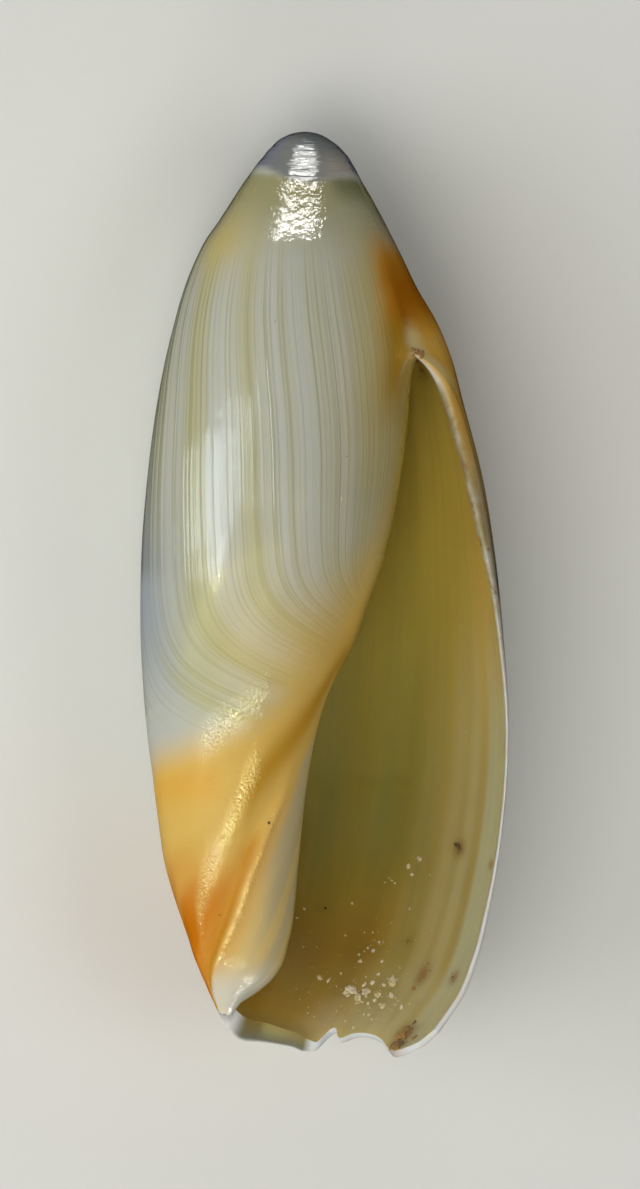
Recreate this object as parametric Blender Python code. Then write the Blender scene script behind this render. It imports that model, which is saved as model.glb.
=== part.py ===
"""An ancilla shell, resting on its back with its mouth up.

The shell is one solid. Its wall coils once round a tapering core and leaves a pocket between the two,
which opens in a long mouth. The surface is a spiral round the coiling axis. A point on it is given
by its depth, which is how far it lies below the apex along the axis, by its turn, which is the angle
round the axis, and by its radius. Turns are in degrees: 0 at the right, where the lip is, 90 at the
back, 180 at the left and 270 at the front. From 334 on, the surface is inside the mouth.

Every length in the tables is in millimetres. The solid is in metres, with the apex towards +Y and the
mouth towards +Z.
"""

import bmesh
import bpy
import numpy as np
from mathutils import Matrix

MM = 0.001

# The lean of the coiling axis, the roll and pitch at which the shell comes to rest, and how deep the
# flat face that it rests on is cut into its back.
AXIS_LEAN = 4.4
REST_ROLL = -12.77
REST_PITCH = -6.36
REST_CUT = 0.15

# The mouth: the depths of its upper corner and of the lower margin, and the turns of its two sides.
MOUTH_TOP = 9.2
MARGIN_DEPTH = 39.0
CORNER_TURN = -26.0
PARIETAL_TURN = CORNER_TURN + 360

# The wall's thickness, the turn over which it thins to the lip, and how proud the lip's crest is.
WALL = 0.6
LIP_TAPER = 40
LIP_CREST = 0.35

# Radius by depth, at turns from the lip round the back to the front. NEAR_LIP is the outer wall where
# it tucks in under the mouth's upper corner to join the turn before it.
NEAR_LIP = [
    (0.1, 0.61), (0.27, 0.98), (0.74, 1.62), (1.73, 2.38), (3.54, 3.45), (5.2, 4.35), (7.0, 5.1), (8.2, 5.5),
    (9.2, 5.9), (9.6, 6.4), (10.2, 6.9), (11.1, 7.35), (12.4, 7.85), (14.4, 8.5), (17.8, 9.36), (21.3, 9.97),
    (39.7, 9.97),
]
RIGHT = [
    (0.1, 0.61), (0.27, 0.98), (0.74, 1.62), (1.73, 2.35), (3.54, 3.53), (5.2, 4.52), (6.3, 5.15), (7.7, 6.1),
    (9.2, 6.85), (11.1, 7.5), (14.4, 8.58), (17.8, 9.36), (21.3, 9.97), (24.7, 10.45), (28.2, 10.63),
    (31.6, 10.55), (35.1, 10.18), (36.9, 9.88), (38.4, 9.3), (39.0, 9.03), (39.7, 8.6),
]
RIGHT_BACK = [
    (0.1, 0.61), (0.27, 0.98), (0.74, 1.6), (1.73, 2.33), (3.54, 3.5), (5.2, 4.46), (7.0, 5.45), (9.2, 6.45),
    (12.0, 7.15), (16.0, 8.0), (20.0, 8.6), (24.0, 8.85), (28.0, 8.75), (32.0, 8.2), (35.0, 7.4), (37.0, 6.6),
    (38.6, 5.9), (39.7, 5.4),
]
BACK = [
    (0.1, 0.61), (0.27, 0.97), (0.74, 1.58), (1.73, 2.3), (3.54, 3.45), (5.2, 4.4), (7.0, 5.25), (9.2, 6.0),
    (12.0, 6.65), (16.0, 7.2), (20.0, 7.5), (24.0, 7.5), (28.0, 7.15), (32.0, 6.4), (35.0, 5.4), (37.0, 4.3),
    (38.6, 3.3), (39.7, 2.8),
]
BACK_TO_LEFT = [
    (0.1, 0.61), (0.27, 0.97), (1.73, 2.28), (5.2, 4.3), (9.2, 5.8), (12.0, 6.4), (16.0, 6.88), (20.0, 7.05),
    (24.0, 6.95), (28.0, 6.45), (32.0, 5.6), (35.0, 4.45), (36.0, 3.75), (37.0, 2.85), (37.6, 2.05),
    (38.1, 1.25), (38.6, 0.7), (39.7, 0.4),
]
LEFT_BACK = [
    (0.1, 0.61), (0.27, 0.97), (1.73, 2.25), (5.2, 4.2), (9.2, 5.6), (12.0, 6.12), (16.0, 6.5), (20.0, 6.55),
    (24.0, 6.3), (28.0, 5.7), (32.0, 4.75), (34.0, 3.9), (35.0, 3.3), (36.0, 2.5), (37.0, 1.7), (37.6, 1.15),
    (38.1, 0.66), (38.6, 0.35), (39.7, 0.2),
]
LEFT = [
    (0.1, 0.61), (0.44, 1.22), (1.0, 1.7), (2.1, 2.44), (3.19, 3.05), (4.09, 3.54), (5.0, 4.08), (5.9, 4.46),
    (7.0, 4.82), (8.6, 5.19), (12.0, 5.7), (15.5, 5.93), (19.0, 5.93), (22.5, 5.64), (25.9, 5.07),
    (29.3, 4.28), (32.7, 3.33), (35.0, 2.37), (36.1, 1.86), (37.0, 1.24), (37.7, 0.72),
    (38.3, 0.32), (39.7, 0.12),
]
FRONT = [
    (0.1, 0.61), (0.44, 1.22), (1.0, 1.72), (2.1, 2.43), (3.19, 3.0), (5.2, 4.1), (7.0, 4.75), (9.2, 5.25),
    (12.0, 5.5), (16.0, 5.5), (19.0, 5.15), (22.0, 4.4), (24.5, 3.6), (26.5, 3.15), (29.5, 2.85), (33.0, 2.5),
    (35.5, 1.95), (37.0, 1.35), (37.7, 0.8), (38.3, 0.36), (39.7, 0.15),
]
# The same inside the mouth: the parietal wall and, below it, the pillar of the columella.
PARIETAL = [
    (9.2, 5.9), (9.7, 5.8), (10.4, 5.64), (11.5, 5.46), (13.0, 5.32), (14.5, 5.18), (16.0, 5.0), (18.6, 4.5),
    (20.5, 3.95), (22.5, 3.35), (24.3, 2.75), (26.0, 2.4), (28.0, 2.2), (32.0, 2.1), (35.0, 1.98),
    (36.2, 1.75), (37.0, 1.3), (37.7, 0.62), (38.3, 0.32), (39.7, 0.15),
]
INNER_RIGHT = [
    (9.2, 5.3), (10.0, 5.15), (12.0, 5.14), (14.3, 5.01), (15.6, 4.89), (17.3, 4.68), (18.6, 4.43),
    (20.0, 4.02), (21.8, 3.55), (23.1, 2.96), (24.5, 2.35), (25.6, 2.02), (26.7, 1.92), (30.0, 1.9),
    (34.9, 1.96), (36.2, 1.8), (36.9, 1.43), (37.5, 0.86), (37.8, 0.5), (38.3, 0.3), (39.7, 0.12),
]
INNER_BACK = [
    (7.0, 4.1), (9.2, 4.6), (12.0, 4.6), (16.0, 4.3), (20.0, 3.4), (23.0, 2.5), (26.0, 1.85), (30.0, 1.65),
    (35.0, 1.55), (37.0, 0.95), (38.3, 0.3), (39.7, 0.12),
]
INNER_LEFT = [
    (6.0, 3.0), (9.2, 3.7), (14.0, 3.7), (19.0, 3.0), (23.0, 2.1), (27.0, 1.6), (33.0, 1.4), (37.0, 0.8),
    (38.3, 0.3), (39.7, 0.12),
]
INNER_FRONT = [(6.0, 2.6), (9.2, 3.3), (14.0, 3.3), (19.0, 2.7), (23.0, 1.9), (27.0, 1.5), (39.7, 0.12)]

# The outlines by turn: round the outside, then closed above the mouth and open beside it.
OUTER_TURNS = {
    CORNER_TURN: NEAR_LIP, 0: RIGHT, 45: RIGHT_BACK, 90: BACK, 112: BACK_TO_LEFT, 135: LEFT_BACK, 180: LEFT,
    270: FRONT,
}
CLOSED_TURNS = {**OUTER_TURNS, -90: FRONT, PARIETAL_TURN: NEAR_LIP, 360: RIGHT}
OPEN_TURNS = {
    **OUTER_TURNS, PARIETAL_TURN: PARIETAL, 360: INNER_RIGHT, 450: INNER_BACK, 540: INNER_LEFT,
    630: INNER_FRONT,
}

# How far the centre of the coil shifts towards +X near the base, by depth.
CENTRE_SHIFT = [
    (0.0, 0.0), (33.0, 0.0), (35.0, -0.08), (36.5, -0.28), (37.5, -0.48), (38.5, -0.65), (39.7, -0.75),
]

# The free edge: the lip's turn and thickness by depth, and the depth of the lower margin by turn, with
# the chipped notch from 12 to 44. The margin's bevel is how much shorter the inner face is, by turn.
LIP_TURN = [
    (9.2, CORNER_TURN), (10.0, -20.0), (11.5, -14.0), (14.0, -13.0), (16.0, -14.0), (18.0, -12.0),
    (20.0, -8.0), (23.0, -4.0), (27.0, 0.0), (39.7, 0.0),
]
LIP_WALL = [
    (9.2, 0.3), (9.9, 0.75), (10.5, 0.62), (12.0, 0.5), (14.0, 0.42), (16.0, 0.32), (19.0, 0.28),
    (36.0, 0.28), (38.4, 0.35), (39.7, 0.45),
]
MARGIN = [
    (0, 38.37), (4, 38.97), (8, 39.37), (12, 39.6), (16, 39.4), (20.5, 39.02), (24.5, 38.79), (29, 38.7),
    (32, 38.78), (34.3, 39.0), (36, 38.95), (38.5, 38.66), (40.2, 38.9), (42, 39.5), (44.4, 39.66),
    (53, 39.55), (67, 39.45), (80, 39.38), (84, 39.2), (92, 38.6), (98, 38.3), (110, 38.15), (180, 38.2),
    (270, 38.3), (486, 38.3),
]
MARGIN_BEVEL = [
    (0, 0.1), (12, 0.25), (18, 0.15), (40, 0.15), (45, 0.45), (60, 0.7), (84, 0.8), (93, 0.4), (102, 0.05),
]

# The pocket: the turn at which it ends and the reach of its rounded end by depth, and the depth and the
# roundness of its roof by turn.
POCKET_END = [
    (6.0, 250), (22.0, 250), (28.0, 205), (33.0, 165), (36.0, 135), (37.3, 112), (38.2, 103), (39.7, 100),
]
END_REACH = [(9.2, 0.7), (32.0, 0.7), (35.0, 0.4), (37.0, 0.1), (38.3, 0.0)]
ROOF = [(CORNER_TURN, MOUTH_TOP), (0, 8.6), (90, 7.7), (180, 7.0), (250, 6.7)]
ROOF_ROUND = [(CORNER_TURN, 0.15), (20, 1.3), (250, 1.3)]

# The columella's ridge runs down in a spiral, by depth. A groove lies behind it.
RIDGE_TURN = [(25.0, 300), (28.5, 294), (30.0, 282), (32.0, 270), (34.7, 253), (36.0, 240), (38.0, 222)]
RIDGE_HEIGHT = [(27.0, 0.0), (29.0, 0.06), (32.0, 0.14), (36.0, 0.16), (37.6, 0.04), (38.2, 0.0)]
GROOVE_DEPTH = [(27.0, 0.0), (29.0, 0.1), (32.0, 0.24), (36.0, 0.22), (37.6, 0.04), (38.2, 0.0)]
RIDGE_WIDTH = 0.32
GROOVE_WIDTH = 0.55
GROOVE_BEHIND = 0.6

# The columns and rows of the mesh. The columns are closest at the chipped notch and at the ridge, and
# the wide face from 84 to 109 is the one that the shell rests on.
CORNER_COLUMNS = [0.0, 0.35, 0.7, 1.0]
CORNER_COLUMN_END = 8
NOTCH_COLUMNS = [12, 14, 16, 18.3, 20.5, 23, 26, 29, 32, 34.3, 36, 37.3, 38.5, 40.2, 42, 44.4, 53, 67, 80]
SIDE_COLUMNS = [84, 109, 119, 131, 142, 153]
RIDGE_COLUMNS = [-1.0, -0.8, -0.6, -0.44, -0.3, -0.16, 0.0, 0.15, 0.32, 0.5]
RIDGE_SPREAD = [(9.2, 52), (26.0, 50), (30.0, 45), (36.0, 45), (38.0, 48)]
BEHIND_RIDGE_STEPS = 5
PILLAR_STEPS = 5
POCKET_STEPS = 8
END_STEPS = 4
SPIRE_ROWS = 11
BODY_ROWS = 33
LOW_ROWS = 1.25

# The shell's plain colour and gloss.
SHELL_COLOUR = (0.6, 0.56, 0.42, 1.0)
SHELL_ROUGHNESS = 0.25


def smooth(table, at):
    """A smooth curve through the table's points, level past its ends."""
    xs, ys = np.array(table, float).T
    slopes = np.gradient(ys, xs)
    i = np.clip(np.searchsorted(xs, at) - 1, 0, len(xs) - 2)
    span = xs[i + 1] - xs[i]
    t = np.clip((at - xs[i]) / span, 0, 1)
    bend = t * t * (3 - 2 * t)
    return (
        ys[i] * (1 - bend)
        + ys[i + 1] * bend
        + span * t * (1 - t) * (slopes[i] * (1 - t) - slopes[i + 1] * t)
    )


def log_slope(table, depth):
    """The logarithm of radius over the root of depth, which stays finite at the round apex."""
    roots = [(np.sqrt(d), np.log(r / np.sqrt(d))) for d, r in table]
    return smooth(roots, np.sqrt(depth))


def even_slopes(xs, ys):
    """Slopes at the points along the first axis, for a curve that rises or falls only as they do."""
    gaps = np.diff(xs)[:, None]
    rises = np.diff(ys, axis=0) / gaps
    before, after = rises[:-1], rises[1:]
    before_share = 2 * gaps[1:] + gaps[:-1]
    after_share = gaps[1:] + 2 * gaps[:-1]
    same_way = before * after > 0
    inner = before_share * after + after_share * before
    middle = (before_share + after_share) * before * after / np.where(same_way, inner, 1)
    return np.vstack([rises[:1], np.where(same_way, middle, 0), rises[-1:]])


def step(t):
    t = np.clip(t, 0, 1)
    return t * t * (3 - 2 * t)


def bump(offset, width):
    return np.exp(-((offset / width) ** 2))


def radius(turn, depth, outlines):
    """The radius at each turn and depth, growing geometrically between the outlines."""
    turns = np.array(sorted(outlines), float)
    turn, depth = np.broadcast_arrays(turn, depth)
    shape = turn.shape
    turn, depth = turn.ravel(), depth.ravel()
    logs = np.array([log_slope(outlines[t], depth) for t in turns])
    slopes = even_slopes(turns, logs)
    i = np.clip(np.searchsorted(turns, turn) - 1, 0, len(turns) - 2)
    each = np.arange(len(turn))
    span = turns[i + 1] - turns[i]
    t = np.clip((turn - turns[i]) / span, 0, 1)
    log = logs[i, each] * (1 - step(t)) + logs[i + 1, each] * step(t)
    log += span * t * (1 - t) * (slopes[i, each] * (1 - t) - slopes[i + 1, each] * t)
    return (np.exp(log) * np.sqrt(depth)).reshape(shape)


def columella_relief(turn, depth):
    """The ridge that winds down the columella, and the groove behind it."""
    offset = np.radians(turn - smooth(RIDGE_TURN, depth)) * smooth(FRONT, depth)
    ridge = smooth(RIDGE_HEIGHT, depth) * bump(offset, RIDGE_WIDTH)
    groove = smooth(GROOVE_DEPTH, depth) * bump(offset + GROOVE_BEHIND, GROOVE_WIDTH)
    return ridge - groove


def placed(turn, depth, radii):
    """Points in millimetres, before the shell is leaned and laid down."""
    angle = np.radians(turn)
    across = smooth(CENTRE_SHIFT, depth) + radii * np.cos(angle)
    return np.stack([across, -depth + 0 * radii, -radii * np.sin(angle)], axis=-1)


def wall_thickness(turn, depth):
    lip = smooth(LIP_WALL, depth)
    return lip + (WALL - lip) * step((turn - smooth(LIP_TURN, depth)) / LIP_TAPER)


def between(start, end, steps):
    """Even steps from start to end, without the start."""
    return start + (end - start) * np.arange(1, steps + 1) / steps


def skin_turns(depth):
    """The turns of the skin's columns on the rows at these depths."""
    lip = smooth(LIP_TURN, depth)[:, None]
    corner = lip + (CORNER_COLUMN_END - lip) * np.array(CORNER_COLUMNS)
    fixed = np.repeat([NOTCH_COLUMNS + SIDE_COLUMNS], len(depth), 0)
    spread = smooth(RIDGE_SPREAD, depth)[:, None] * np.array(RIDGE_COLUMNS)
    ridge = smooth(RIDGE_TURN, depth)[:, None] + spread
    behind = between(fixed[:, -1:], ridge[:, :1], BEHIND_RIDGE_STEPS)[:, :-1]
    pillar = between(ridge[:, -1:], PARIETAL_TURN, PILLAR_STEPS)
    return np.hstack([corner, fixed, behind, ridge, pillar])


def pocket_turns(depth):
    """The turns of the pocket's columns, from the lip round to its closed end."""
    fixed = skin_turns(depth)[:, : len(CORNER_COLUMNS) + len(NOTCH_COLUMNS)]
    return np.hstack([fixed, between(fixed[:, -1:], smooth(POCKET_END, depth)[:, None], POCKET_STEPS)])


def spire_points():
    root = np.sqrt(MOUTH_TOP) * np.arange(1, SPIRE_ROWS + 1) / SPIRE_ROWS
    depth = root**2
    turn = skin_turns(np.full(SPIRE_ROWS, MOUTH_TOP))
    return placed(turn, depth[:, None], radius(turn, depth[:, None], CLOSED_TURNS))


def body_rows():
    """How far down the mouth each row is, from 0 at its corner to 1 at the margin."""
    t = np.arange(1, BODY_ROWS + 1) / BODY_ROWS
    return 1 - (1 - t) ** LOW_ROWS


def down_to(margin, top, rows):
    """The depths of the rows, from the top to the margin."""
    return top + (margin - top) * rows[:, None]


def skin_points(rows):
    guide = MOUTH_TOP + (MARGIN_DEPTH - MOUTH_TOP) * rows
    turn = skin_turns(guide)
    depth = down_to(smooth(MARGIN, turn), MOUTH_TOP, rows)
    return turn, placed(turn, depth, radius(turn, depth, OPEN_TURNS) + columella_relief(turn, depth))


def inner_face(turn, depth):
    """Points on the wall's inner face, square in from the skin at each turn and depth."""
    out = radius(turn, depth, OPEN_TURNS)
    slope = (radius(turn + 1, depth, OPEN_TURNS) - radius(turn - 1, depth, OPEN_TURNS)) / np.radians(2)
    angle = np.radians(turn)
    square_x = out * np.cos(angle) + slope * np.sin(angle)
    square_z = slope * np.cos(angle) - out * np.sin(angle)
    square = np.stack([square_x, 0 * out, square_z], -1)
    square /= np.linalg.norm(square, axis=-1, keepdims=True)
    return placed(turn, depth, out) - square * wall_thickness(turn, depth)[..., None]


def pocket_points(rows):
    """The rows of the wall's inner face, of the pocket's closed end and of the core, from the roof down."""
    rows = np.append(0, rows)
    turn = pocket_turns(MOUTH_TOP + (MARGIN_DEPTH - MOUTH_TOP) * rows)
    lip, end = turn[:, :1], turn[:, -1:]
    core_turn = PARIETAL_TURN + (turn - lip) * (end + 360 - PARIETAL_TURN) / (end - lip)
    top = smooth(ROOF, turn)
    depth = down_to(smooth(MARGIN, turn) - smooth(MARGIN_BEVEL, turn), top, rows)
    core_depth = down_to(smooth(MARGIN, core_turn), top, rows)
    wall = inner_face(turn, depth)
    core = placed(core_turn, core_depth, radius(core_turn, core_depth, OPEN_TURNS))
    opened = np.clip((depth - top) / smooth(ROOF_ROUND, turn), 0, 1)
    opened = np.sqrt(1 - (1 - opened) ** 2)[..., None]
    middle = (wall + core) / 2
    wall = middle + (wall - middle) * opened
    core = middle + (core - middle) * opened
    reach = smooth(END_REACH, depth[:, -1:])
    return turn[-1], wall, closed_end(end, reach, wall[:, -1:], core[:, -1:]), core


def closed_end(turn, reach, wall, core):
    """The rounded end of the pocket, from the wall to the core."""
    share = np.pi * np.arange(1, END_STEPS)[:, None] / END_STEPS
    half = (wall - core) / 2
    onward = np.stack([-np.sin(np.radians(turn)), 0 * turn, -np.cos(np.radians(turn))], -1)
    reach = reach[..., None] * np.linalg.norm(half, axis=-1, keepdims=True)
    return (wall + core) / 2 + half * np.cos(share) + onward * reach * np.sin(share)


class Mesh:
    """Points, and the faces between them. A sheet is a grid of point numbers, and may share points."""

    def __init__(self):
        self.points = []
        self.faces = []

    def add(self, points):
        points = np.asarray(points)
        first = len(self.points)
        self.points.extend(points.reshape(-1, 3).tolist())
        return first + np.arange(points[..., 0].size).reshape(points.shape[:-1])

    def sheet(self, grid, outward=True):
        for row in range(grid.shape[0] - 1):
            for column in range(grid.shape[1] - 1):
                near, far = grid[row : row + 2, column], grid[row : row + 2, column + 1]
                ring = [near[0], near[1], far[1], far[0]]
                self.face(ring if outward else ring[::-1])

    def face(self, ring):
        ring = [n for i, n in enumerate(ring) if n != ring[i - 1]]
        if len(ring) > 2:
            self.faces.append(ring)

    def bridge(self, first, second, first_at, second_at):
        """Triangles between two rows that run side by side, stepping along whichever is behind."""
        a = b = 0
        while a < len(first) - 1 or b < len(second) - 1:
            end_a, end_b = a == len(first) - 1, b == len(second) - 1
            if end_b or (not end_a and first_at[a + 1] <= second_at[b + 1]):
                self.face([first[a], second[b], first[a + 1]])
                a += 1
            else:
                self.face([first[a], second[b], second[b + 1]])
                b += 1


def lip_points(outer, inner):
    """The crest of the rounded lip, midway between its two edges and a little proud of them."""
    across = inner - outer
    thick = np.linalg.norm(across, axis=1, keepdims=True)
    forward = np.cross([0.0, 1.0, 0.0], across)
    forward /= np.maximum(np.linalg.norm(forward, axis=1, keepdims=True), 1e-6)
    return (outer + inner) / 2 + forward * thick * LIP_CREST


def add_spire(mesh):
    """The closed top, from the apex to the ring at the mouth's corner, which is returned."""
    apex = mesh.add([[0.0, 0.0, 0.0]])
    rings = mesh.add(spire_points()[:, :-1])
    rings = np.hstack([rings, rings[:, :1]])
    mesh.sheet(np.vstack([np.repeat(apex, rings.shape[1])[None], rings]))
    return rings[-1]


def add_pocket(mesh, skin, wall_at, end_at, core_at):
    """The sheets inside the mouth, which share the skin's corner and its parietal edge."""
    roof = np.append(skin[0, 0], mesh.add(wall_at[0, 1:]))
    wall = np.vstack([roof[None], mesh.add(wall_at[1:])])
    core = np.vstack([roof[None], np.hstack([skin[1:, -1:], mesh.add(core_at[1:, 1:])])])
    end = np.vstack([np.repeat(roof[-1], END_STEPS - 1)[None], mesh.add(end_at[1:])])
    mesh.sheet(wall, outward=False)
    mesh.sheet(np.hstack([wall[:, -1:], end, core[:, -1:]]), outward=False)
    mesh.sheet(core)
    return wall, end, core


def add_margin(mesh, skin, lip, wall, end, core, skin_turn, wall_turn):
    """The lower edge of the wall, and the flat tip where the core and the wall end together."""
    seam = np.searchsorted(skin_turn, wall_turn[-1])
    mesh.bridge(skin[: seam + 1], wall, skin_turn, wall_turn)
    mesh.face([skin[0], lip, wall[0]])
    tip = list(skin[seam:]) + list(core[1:]) + list(end[::-1]) + [wall[-1]]
    mesh.face(tip[::-1])


def shell_mesh():
    mesh = Mesh()
    rows = body_rows()
    skin_turn, points = skin_points(rows)
    wall_turn, wall_at, end_at, core_at = pocket_points(rows)
    skin = np.vstack([add_spire(mesh)[None], mesh.add(points)])
    mesh.sheet(skin)
    wall, end, core = add_pocket(mesh, skin, wall_at, end_at, core_at)
    crest = mesh.add(lip_points(points[:, 0], wall_at[1:, 0]))
    lip = np.append(skin[0, 0], crest)[:, None]
    mesh.sheet(np.hstack([wall[:, :1], lip, skin[:, :1]]))
    add_margin(mesh, skin[-1], lip[-1, 0], wall[-1], end[-1], core[-1], skin_turn[-1], wall_turn)
    return mesh


def laid_down(points):
    """The points turned to the resting pose, over the origin, with a flat face cut at z = 0."""
    turn = (
        Matrix.Rotation(np.radians(REST_PITCH), 3, "X")
        @ Matrix.Rotation(np.radians(REST_ROLL), 3, "Y")
        @ Matrix.Rotation(np.radians(-AXIS_LEAN), 3, "Z")
    )
    points = points @ np.array(turn).T
    low, high = points.min(axis=0), points.max(axis=0)
    floor = low[2] + REST_CUT
    points[:, 2] = np.maximum(points[:, 2], floor)
    return points - [(low[0] + high[0]) / 2, (low[1] + high[1]) / 2, floor]


def shell_material():
    material = bpy.data.materials.new("shell")
    material.use_nodes = True
    shader = material.node_tree.nodes["Principled BSDF"]
    shader.inputs["Base Color"].default_value = SHELL_COLOUR
    shader.inputs["Roughness"].default_value = SHELL_ROUGHNESS
    shader.inputs["Metallic"].default_value = 0.0
    return material


def build():
    for obj in list(bpy.data.objects):
        bpy.data.objects.remove(obj)
    surface = shell_mesh()
    mesh = bpy.data.meshes.new("shell")
    mesh.from_pydata(laid_down(np.array(surface.points)) * MM, [], surface.faces)
    bm = bmesh.new()
    bm.from_mesh(mesh)
    bmesh.ops.triangulate(bm, faces=[f for f in bm.faces if len(f.verts) > 4])
    bm.to_mesh(mesh)
    bm.free()
    mesh.shade_smooth()
    mesh.materials.append(shell_material())
    bpy.context.scene.collection.objects.link(bpy.data.objects.new("shell", mesh))


build()
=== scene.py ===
"""The looks of the ancilla shell: its finished surface, the sand and dirt in its mouth, light and camera.

The shell's surface follows the solid's tables and rules on a finer mesh. It adds fine relief. Near the
mouth's upper corner, its lip is a little thicker and its parietal edge a little further back. A point
on it is given by its depth below the apex along the coiling axis, its turn round the axis and its
radius. Turns are in degrees: 0 at the right, where the lip is, 90 at the back, 180 at the left and 270
at the front. From 334 on, the surface is inside the mouth. Every length in the tables is in millimetres.
"""

import bmesh
import bpy
import numpy as np
from mathutils import Matrix, Vector, noise
from mathutils.bvhtree import BVHTree


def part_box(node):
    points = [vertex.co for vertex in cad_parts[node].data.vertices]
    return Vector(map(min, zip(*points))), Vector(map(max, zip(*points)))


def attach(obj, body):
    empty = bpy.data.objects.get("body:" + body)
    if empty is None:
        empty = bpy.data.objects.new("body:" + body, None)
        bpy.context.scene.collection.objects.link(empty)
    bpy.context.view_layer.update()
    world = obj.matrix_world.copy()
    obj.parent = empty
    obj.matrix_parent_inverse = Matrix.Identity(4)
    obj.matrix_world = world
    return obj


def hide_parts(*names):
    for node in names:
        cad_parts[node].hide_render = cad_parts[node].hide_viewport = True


MM = 0.001

# The lean of the coiling axis, and the roll and pitch at which the shell comes to rest.
AXIS_LEAN = 4.4
REST_ROLL = -12.77
REST_PITCH = -6.36

# The mouth: the depths of its upper corner, of the lower margin and of the columella's tip, and the
# turns of its two sides.
MOUTH_TOP = 9.2
MARGIN_DEPTH = 39.0
TIP_DEPTH = 38.2
CORNER_TURN = -26.0
PARIETAL_TURN = CORNER_TURN + 360

# The wall's thickness, and the turn over which it thins to the lip.
WALL = 0.6
LIP_TAPER = 40

# Radius by depth, at turns from the lip round the back to the front. NEAR_LIP is the outer wall where
# it tucks in under the mouth's upper corner to join the turn before it.
NEAR_LIP = [
    (0.1, 0.61), (0.27, 0.98), (0.74, 1.62), (1.73, 2.38), (3.54, 3.45), (5.2, 4.35), (7.0, 5.1), (8.2, 5.5),
    (9.2, 5.9), (9.6, 6.4), (10.2, 6.9), (11.1, 7.35), (12.4, 7.85), (14.4, 8.5), (17.8, 9.36), (21.3, 9.97),
    (39.7, 9.97),
]
RIGHT = [
    (0.1, 0.61), (0.27, 0.98), (0.74, 1.62), (1.73, 2.35), (3.54, 3.53), (5.2, 4.52), (6.3, 5.15),
    (7.7, 6.1), (9.2, 6.85), (11.1, 7.5), (14.4, 8.58), (17.8, 9.36), (21.3, 9.97), (24.7, 10.45),
    (28.2, 10.63), (31.6, 10.55), (35.1, 10.18), (36.9, 9.88), (38.4, 9.3), (39.0, 9.03), (39.7, 8.6),
]
RIGHT_BACK = [
    (0.1, 0.61), (0.27, 0.98), (0.74, 1.6), (1.73, 2.33), (3.54, 3.5), (5.2, 4.46), (7.0, 5.45), (9.2, 6.45),
    (12.0, 7.15), (16.0, 8.0), (20.0, 8.6), (24.0, 8.85), (28.0, 8.75), (32.0, 8.2), (35.0, 7.4),
    (37.0, 6.6), (38.6, 5.9), (39.7, 5.4),
]
BACK = [
    (0.1, 0.61), (0.27, 0.97), (0.74, 1.58), (1.73, 2.3), (3.54, 3.45), (5.2, 4.4), (7.0, 5.25), (9.2, 6.0),
    (12.0, 6.65), (16.0, 7.2), (20.0, 7.5), (24.0, 7.5), (28.0, 7.15), (32.0, 6.4), (35.0, 5.4), (37.0, 4.3),
    (38.6, 3.3), (39.7, 2.8),
]
BACK_TO_LEFT = [
    (0.1, 0.61), (0.27, 0.97), (1.73, 2.28), (5.2, 4.3), (9.2, 5.8), (12.0, 6.4), (16.0, 6.88), (20.0, 7.05),
    (24.0, 6.95), (28.0, 6.45), (32.0, 5.6), (35.0, 4.45), (36.0, 3.75), (37.0, 2.85), (37.6, 2.05),
    (38.1, 1.25), (38.6, 0.7), (39.7, 0.4),
]
LEFT_BACK = [
    (0.1, 0.61), (0.27, 0.97), (1.73, 2.25), (5.2, 4.2), (9.2, 5.6), (12.0, 6.12), (16.0, 6.5), (20.0, 6.55),
    (24.0, 6.3), (28.0, 5.7), (32.0, 4.75), (34.0, 3.9), (35.0, 3.3), (36.0, 2.5), (37.0, 1.7), (37.6, 1.15),
    (38.1, 0.66), (38.6, 0.35), (39.7, 0.2),
]
LEFT = [
    (0.1, 0.61), (0.44, 1.22), (1.0, 1.7), (2.1, 2.44), (3.19, 3.05), (4.09, 3.54), (5.0, 4.08), (5.9, 4.46),
    (7.0, 4.82), (8.6, 5.19), (12.0, 5.7), (15.5, 5.93), (19.0, 5.93), (22.5, 5.64), (25.9, 5.07),
    (29.3, 4.28), (32.7, 3.33), (35.0, 2.37), (36.1, 1.86), (37.0, 1.24), (37.7, 0.72),
    (38.3, 0.32), (39.7, 0.12),
]
FRONT = [
    (0.1, 0.61), (0.44, 1.22), (1.0, 1.72), (2.1, 2.43), (3.19, 3.0), (5.2, 4.1), (7.0, 4.75), (9.2, 5.25),
    (12.0, 5.5), (16.0, 5.5), (19.0, 5.15), (22.0, 4.4), (24.5, 3.6), (26.5, 3.15), (29.5, 2.85),
    (33.0, 2.5), (35.5, 1.95), (37.0, 1.35), (37.7, 0.8), (38.3, 0.36), (39.7, 0.15),
]
# The same inside the mouth: the parietal wall and, below it, the pillar of the columella.
PARIETAL = [
    (9.2, 5.9), (9.5, 5.68), (10.4, 5.46), (11.5, 5.34), (13.0, 5.32), (14.5, 5.18), (16.0, 5.0),
    (18.6, 4.5), (20.5, 3.95), (22.5, 3.35), (24.3, 2.75), (26.0, 2.4), (28.0, 2.2), (32.0, 2.1),
    (35.0, 1.98), (36.2, 1.75), (37.0, 1.3), (37.7, 0.62), (38.3, 0.32), (39.7, 0.15),
]
INNER_RIGHT = [
    (9.2, 5.3), (10.0, 5.15), (12.0, 5.14), (14.3, 5.01), (15.6, 4.89), (17.3, 4.68), (18.6, 4.43),
    (20.0, 4.02), (21.8, 3.55), (23.1, 2.96), (24.5, 2.35), (25.6, 2.02), (26.7, 1.92), (30.0, 1.9),
    (34.9, 1.96), (36.2, 1.8), (36.9, 1.43), (37.5, 0.86), (37.8, 0.5), (38.3, 0.3), (39.7, 0.12),
]
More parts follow.
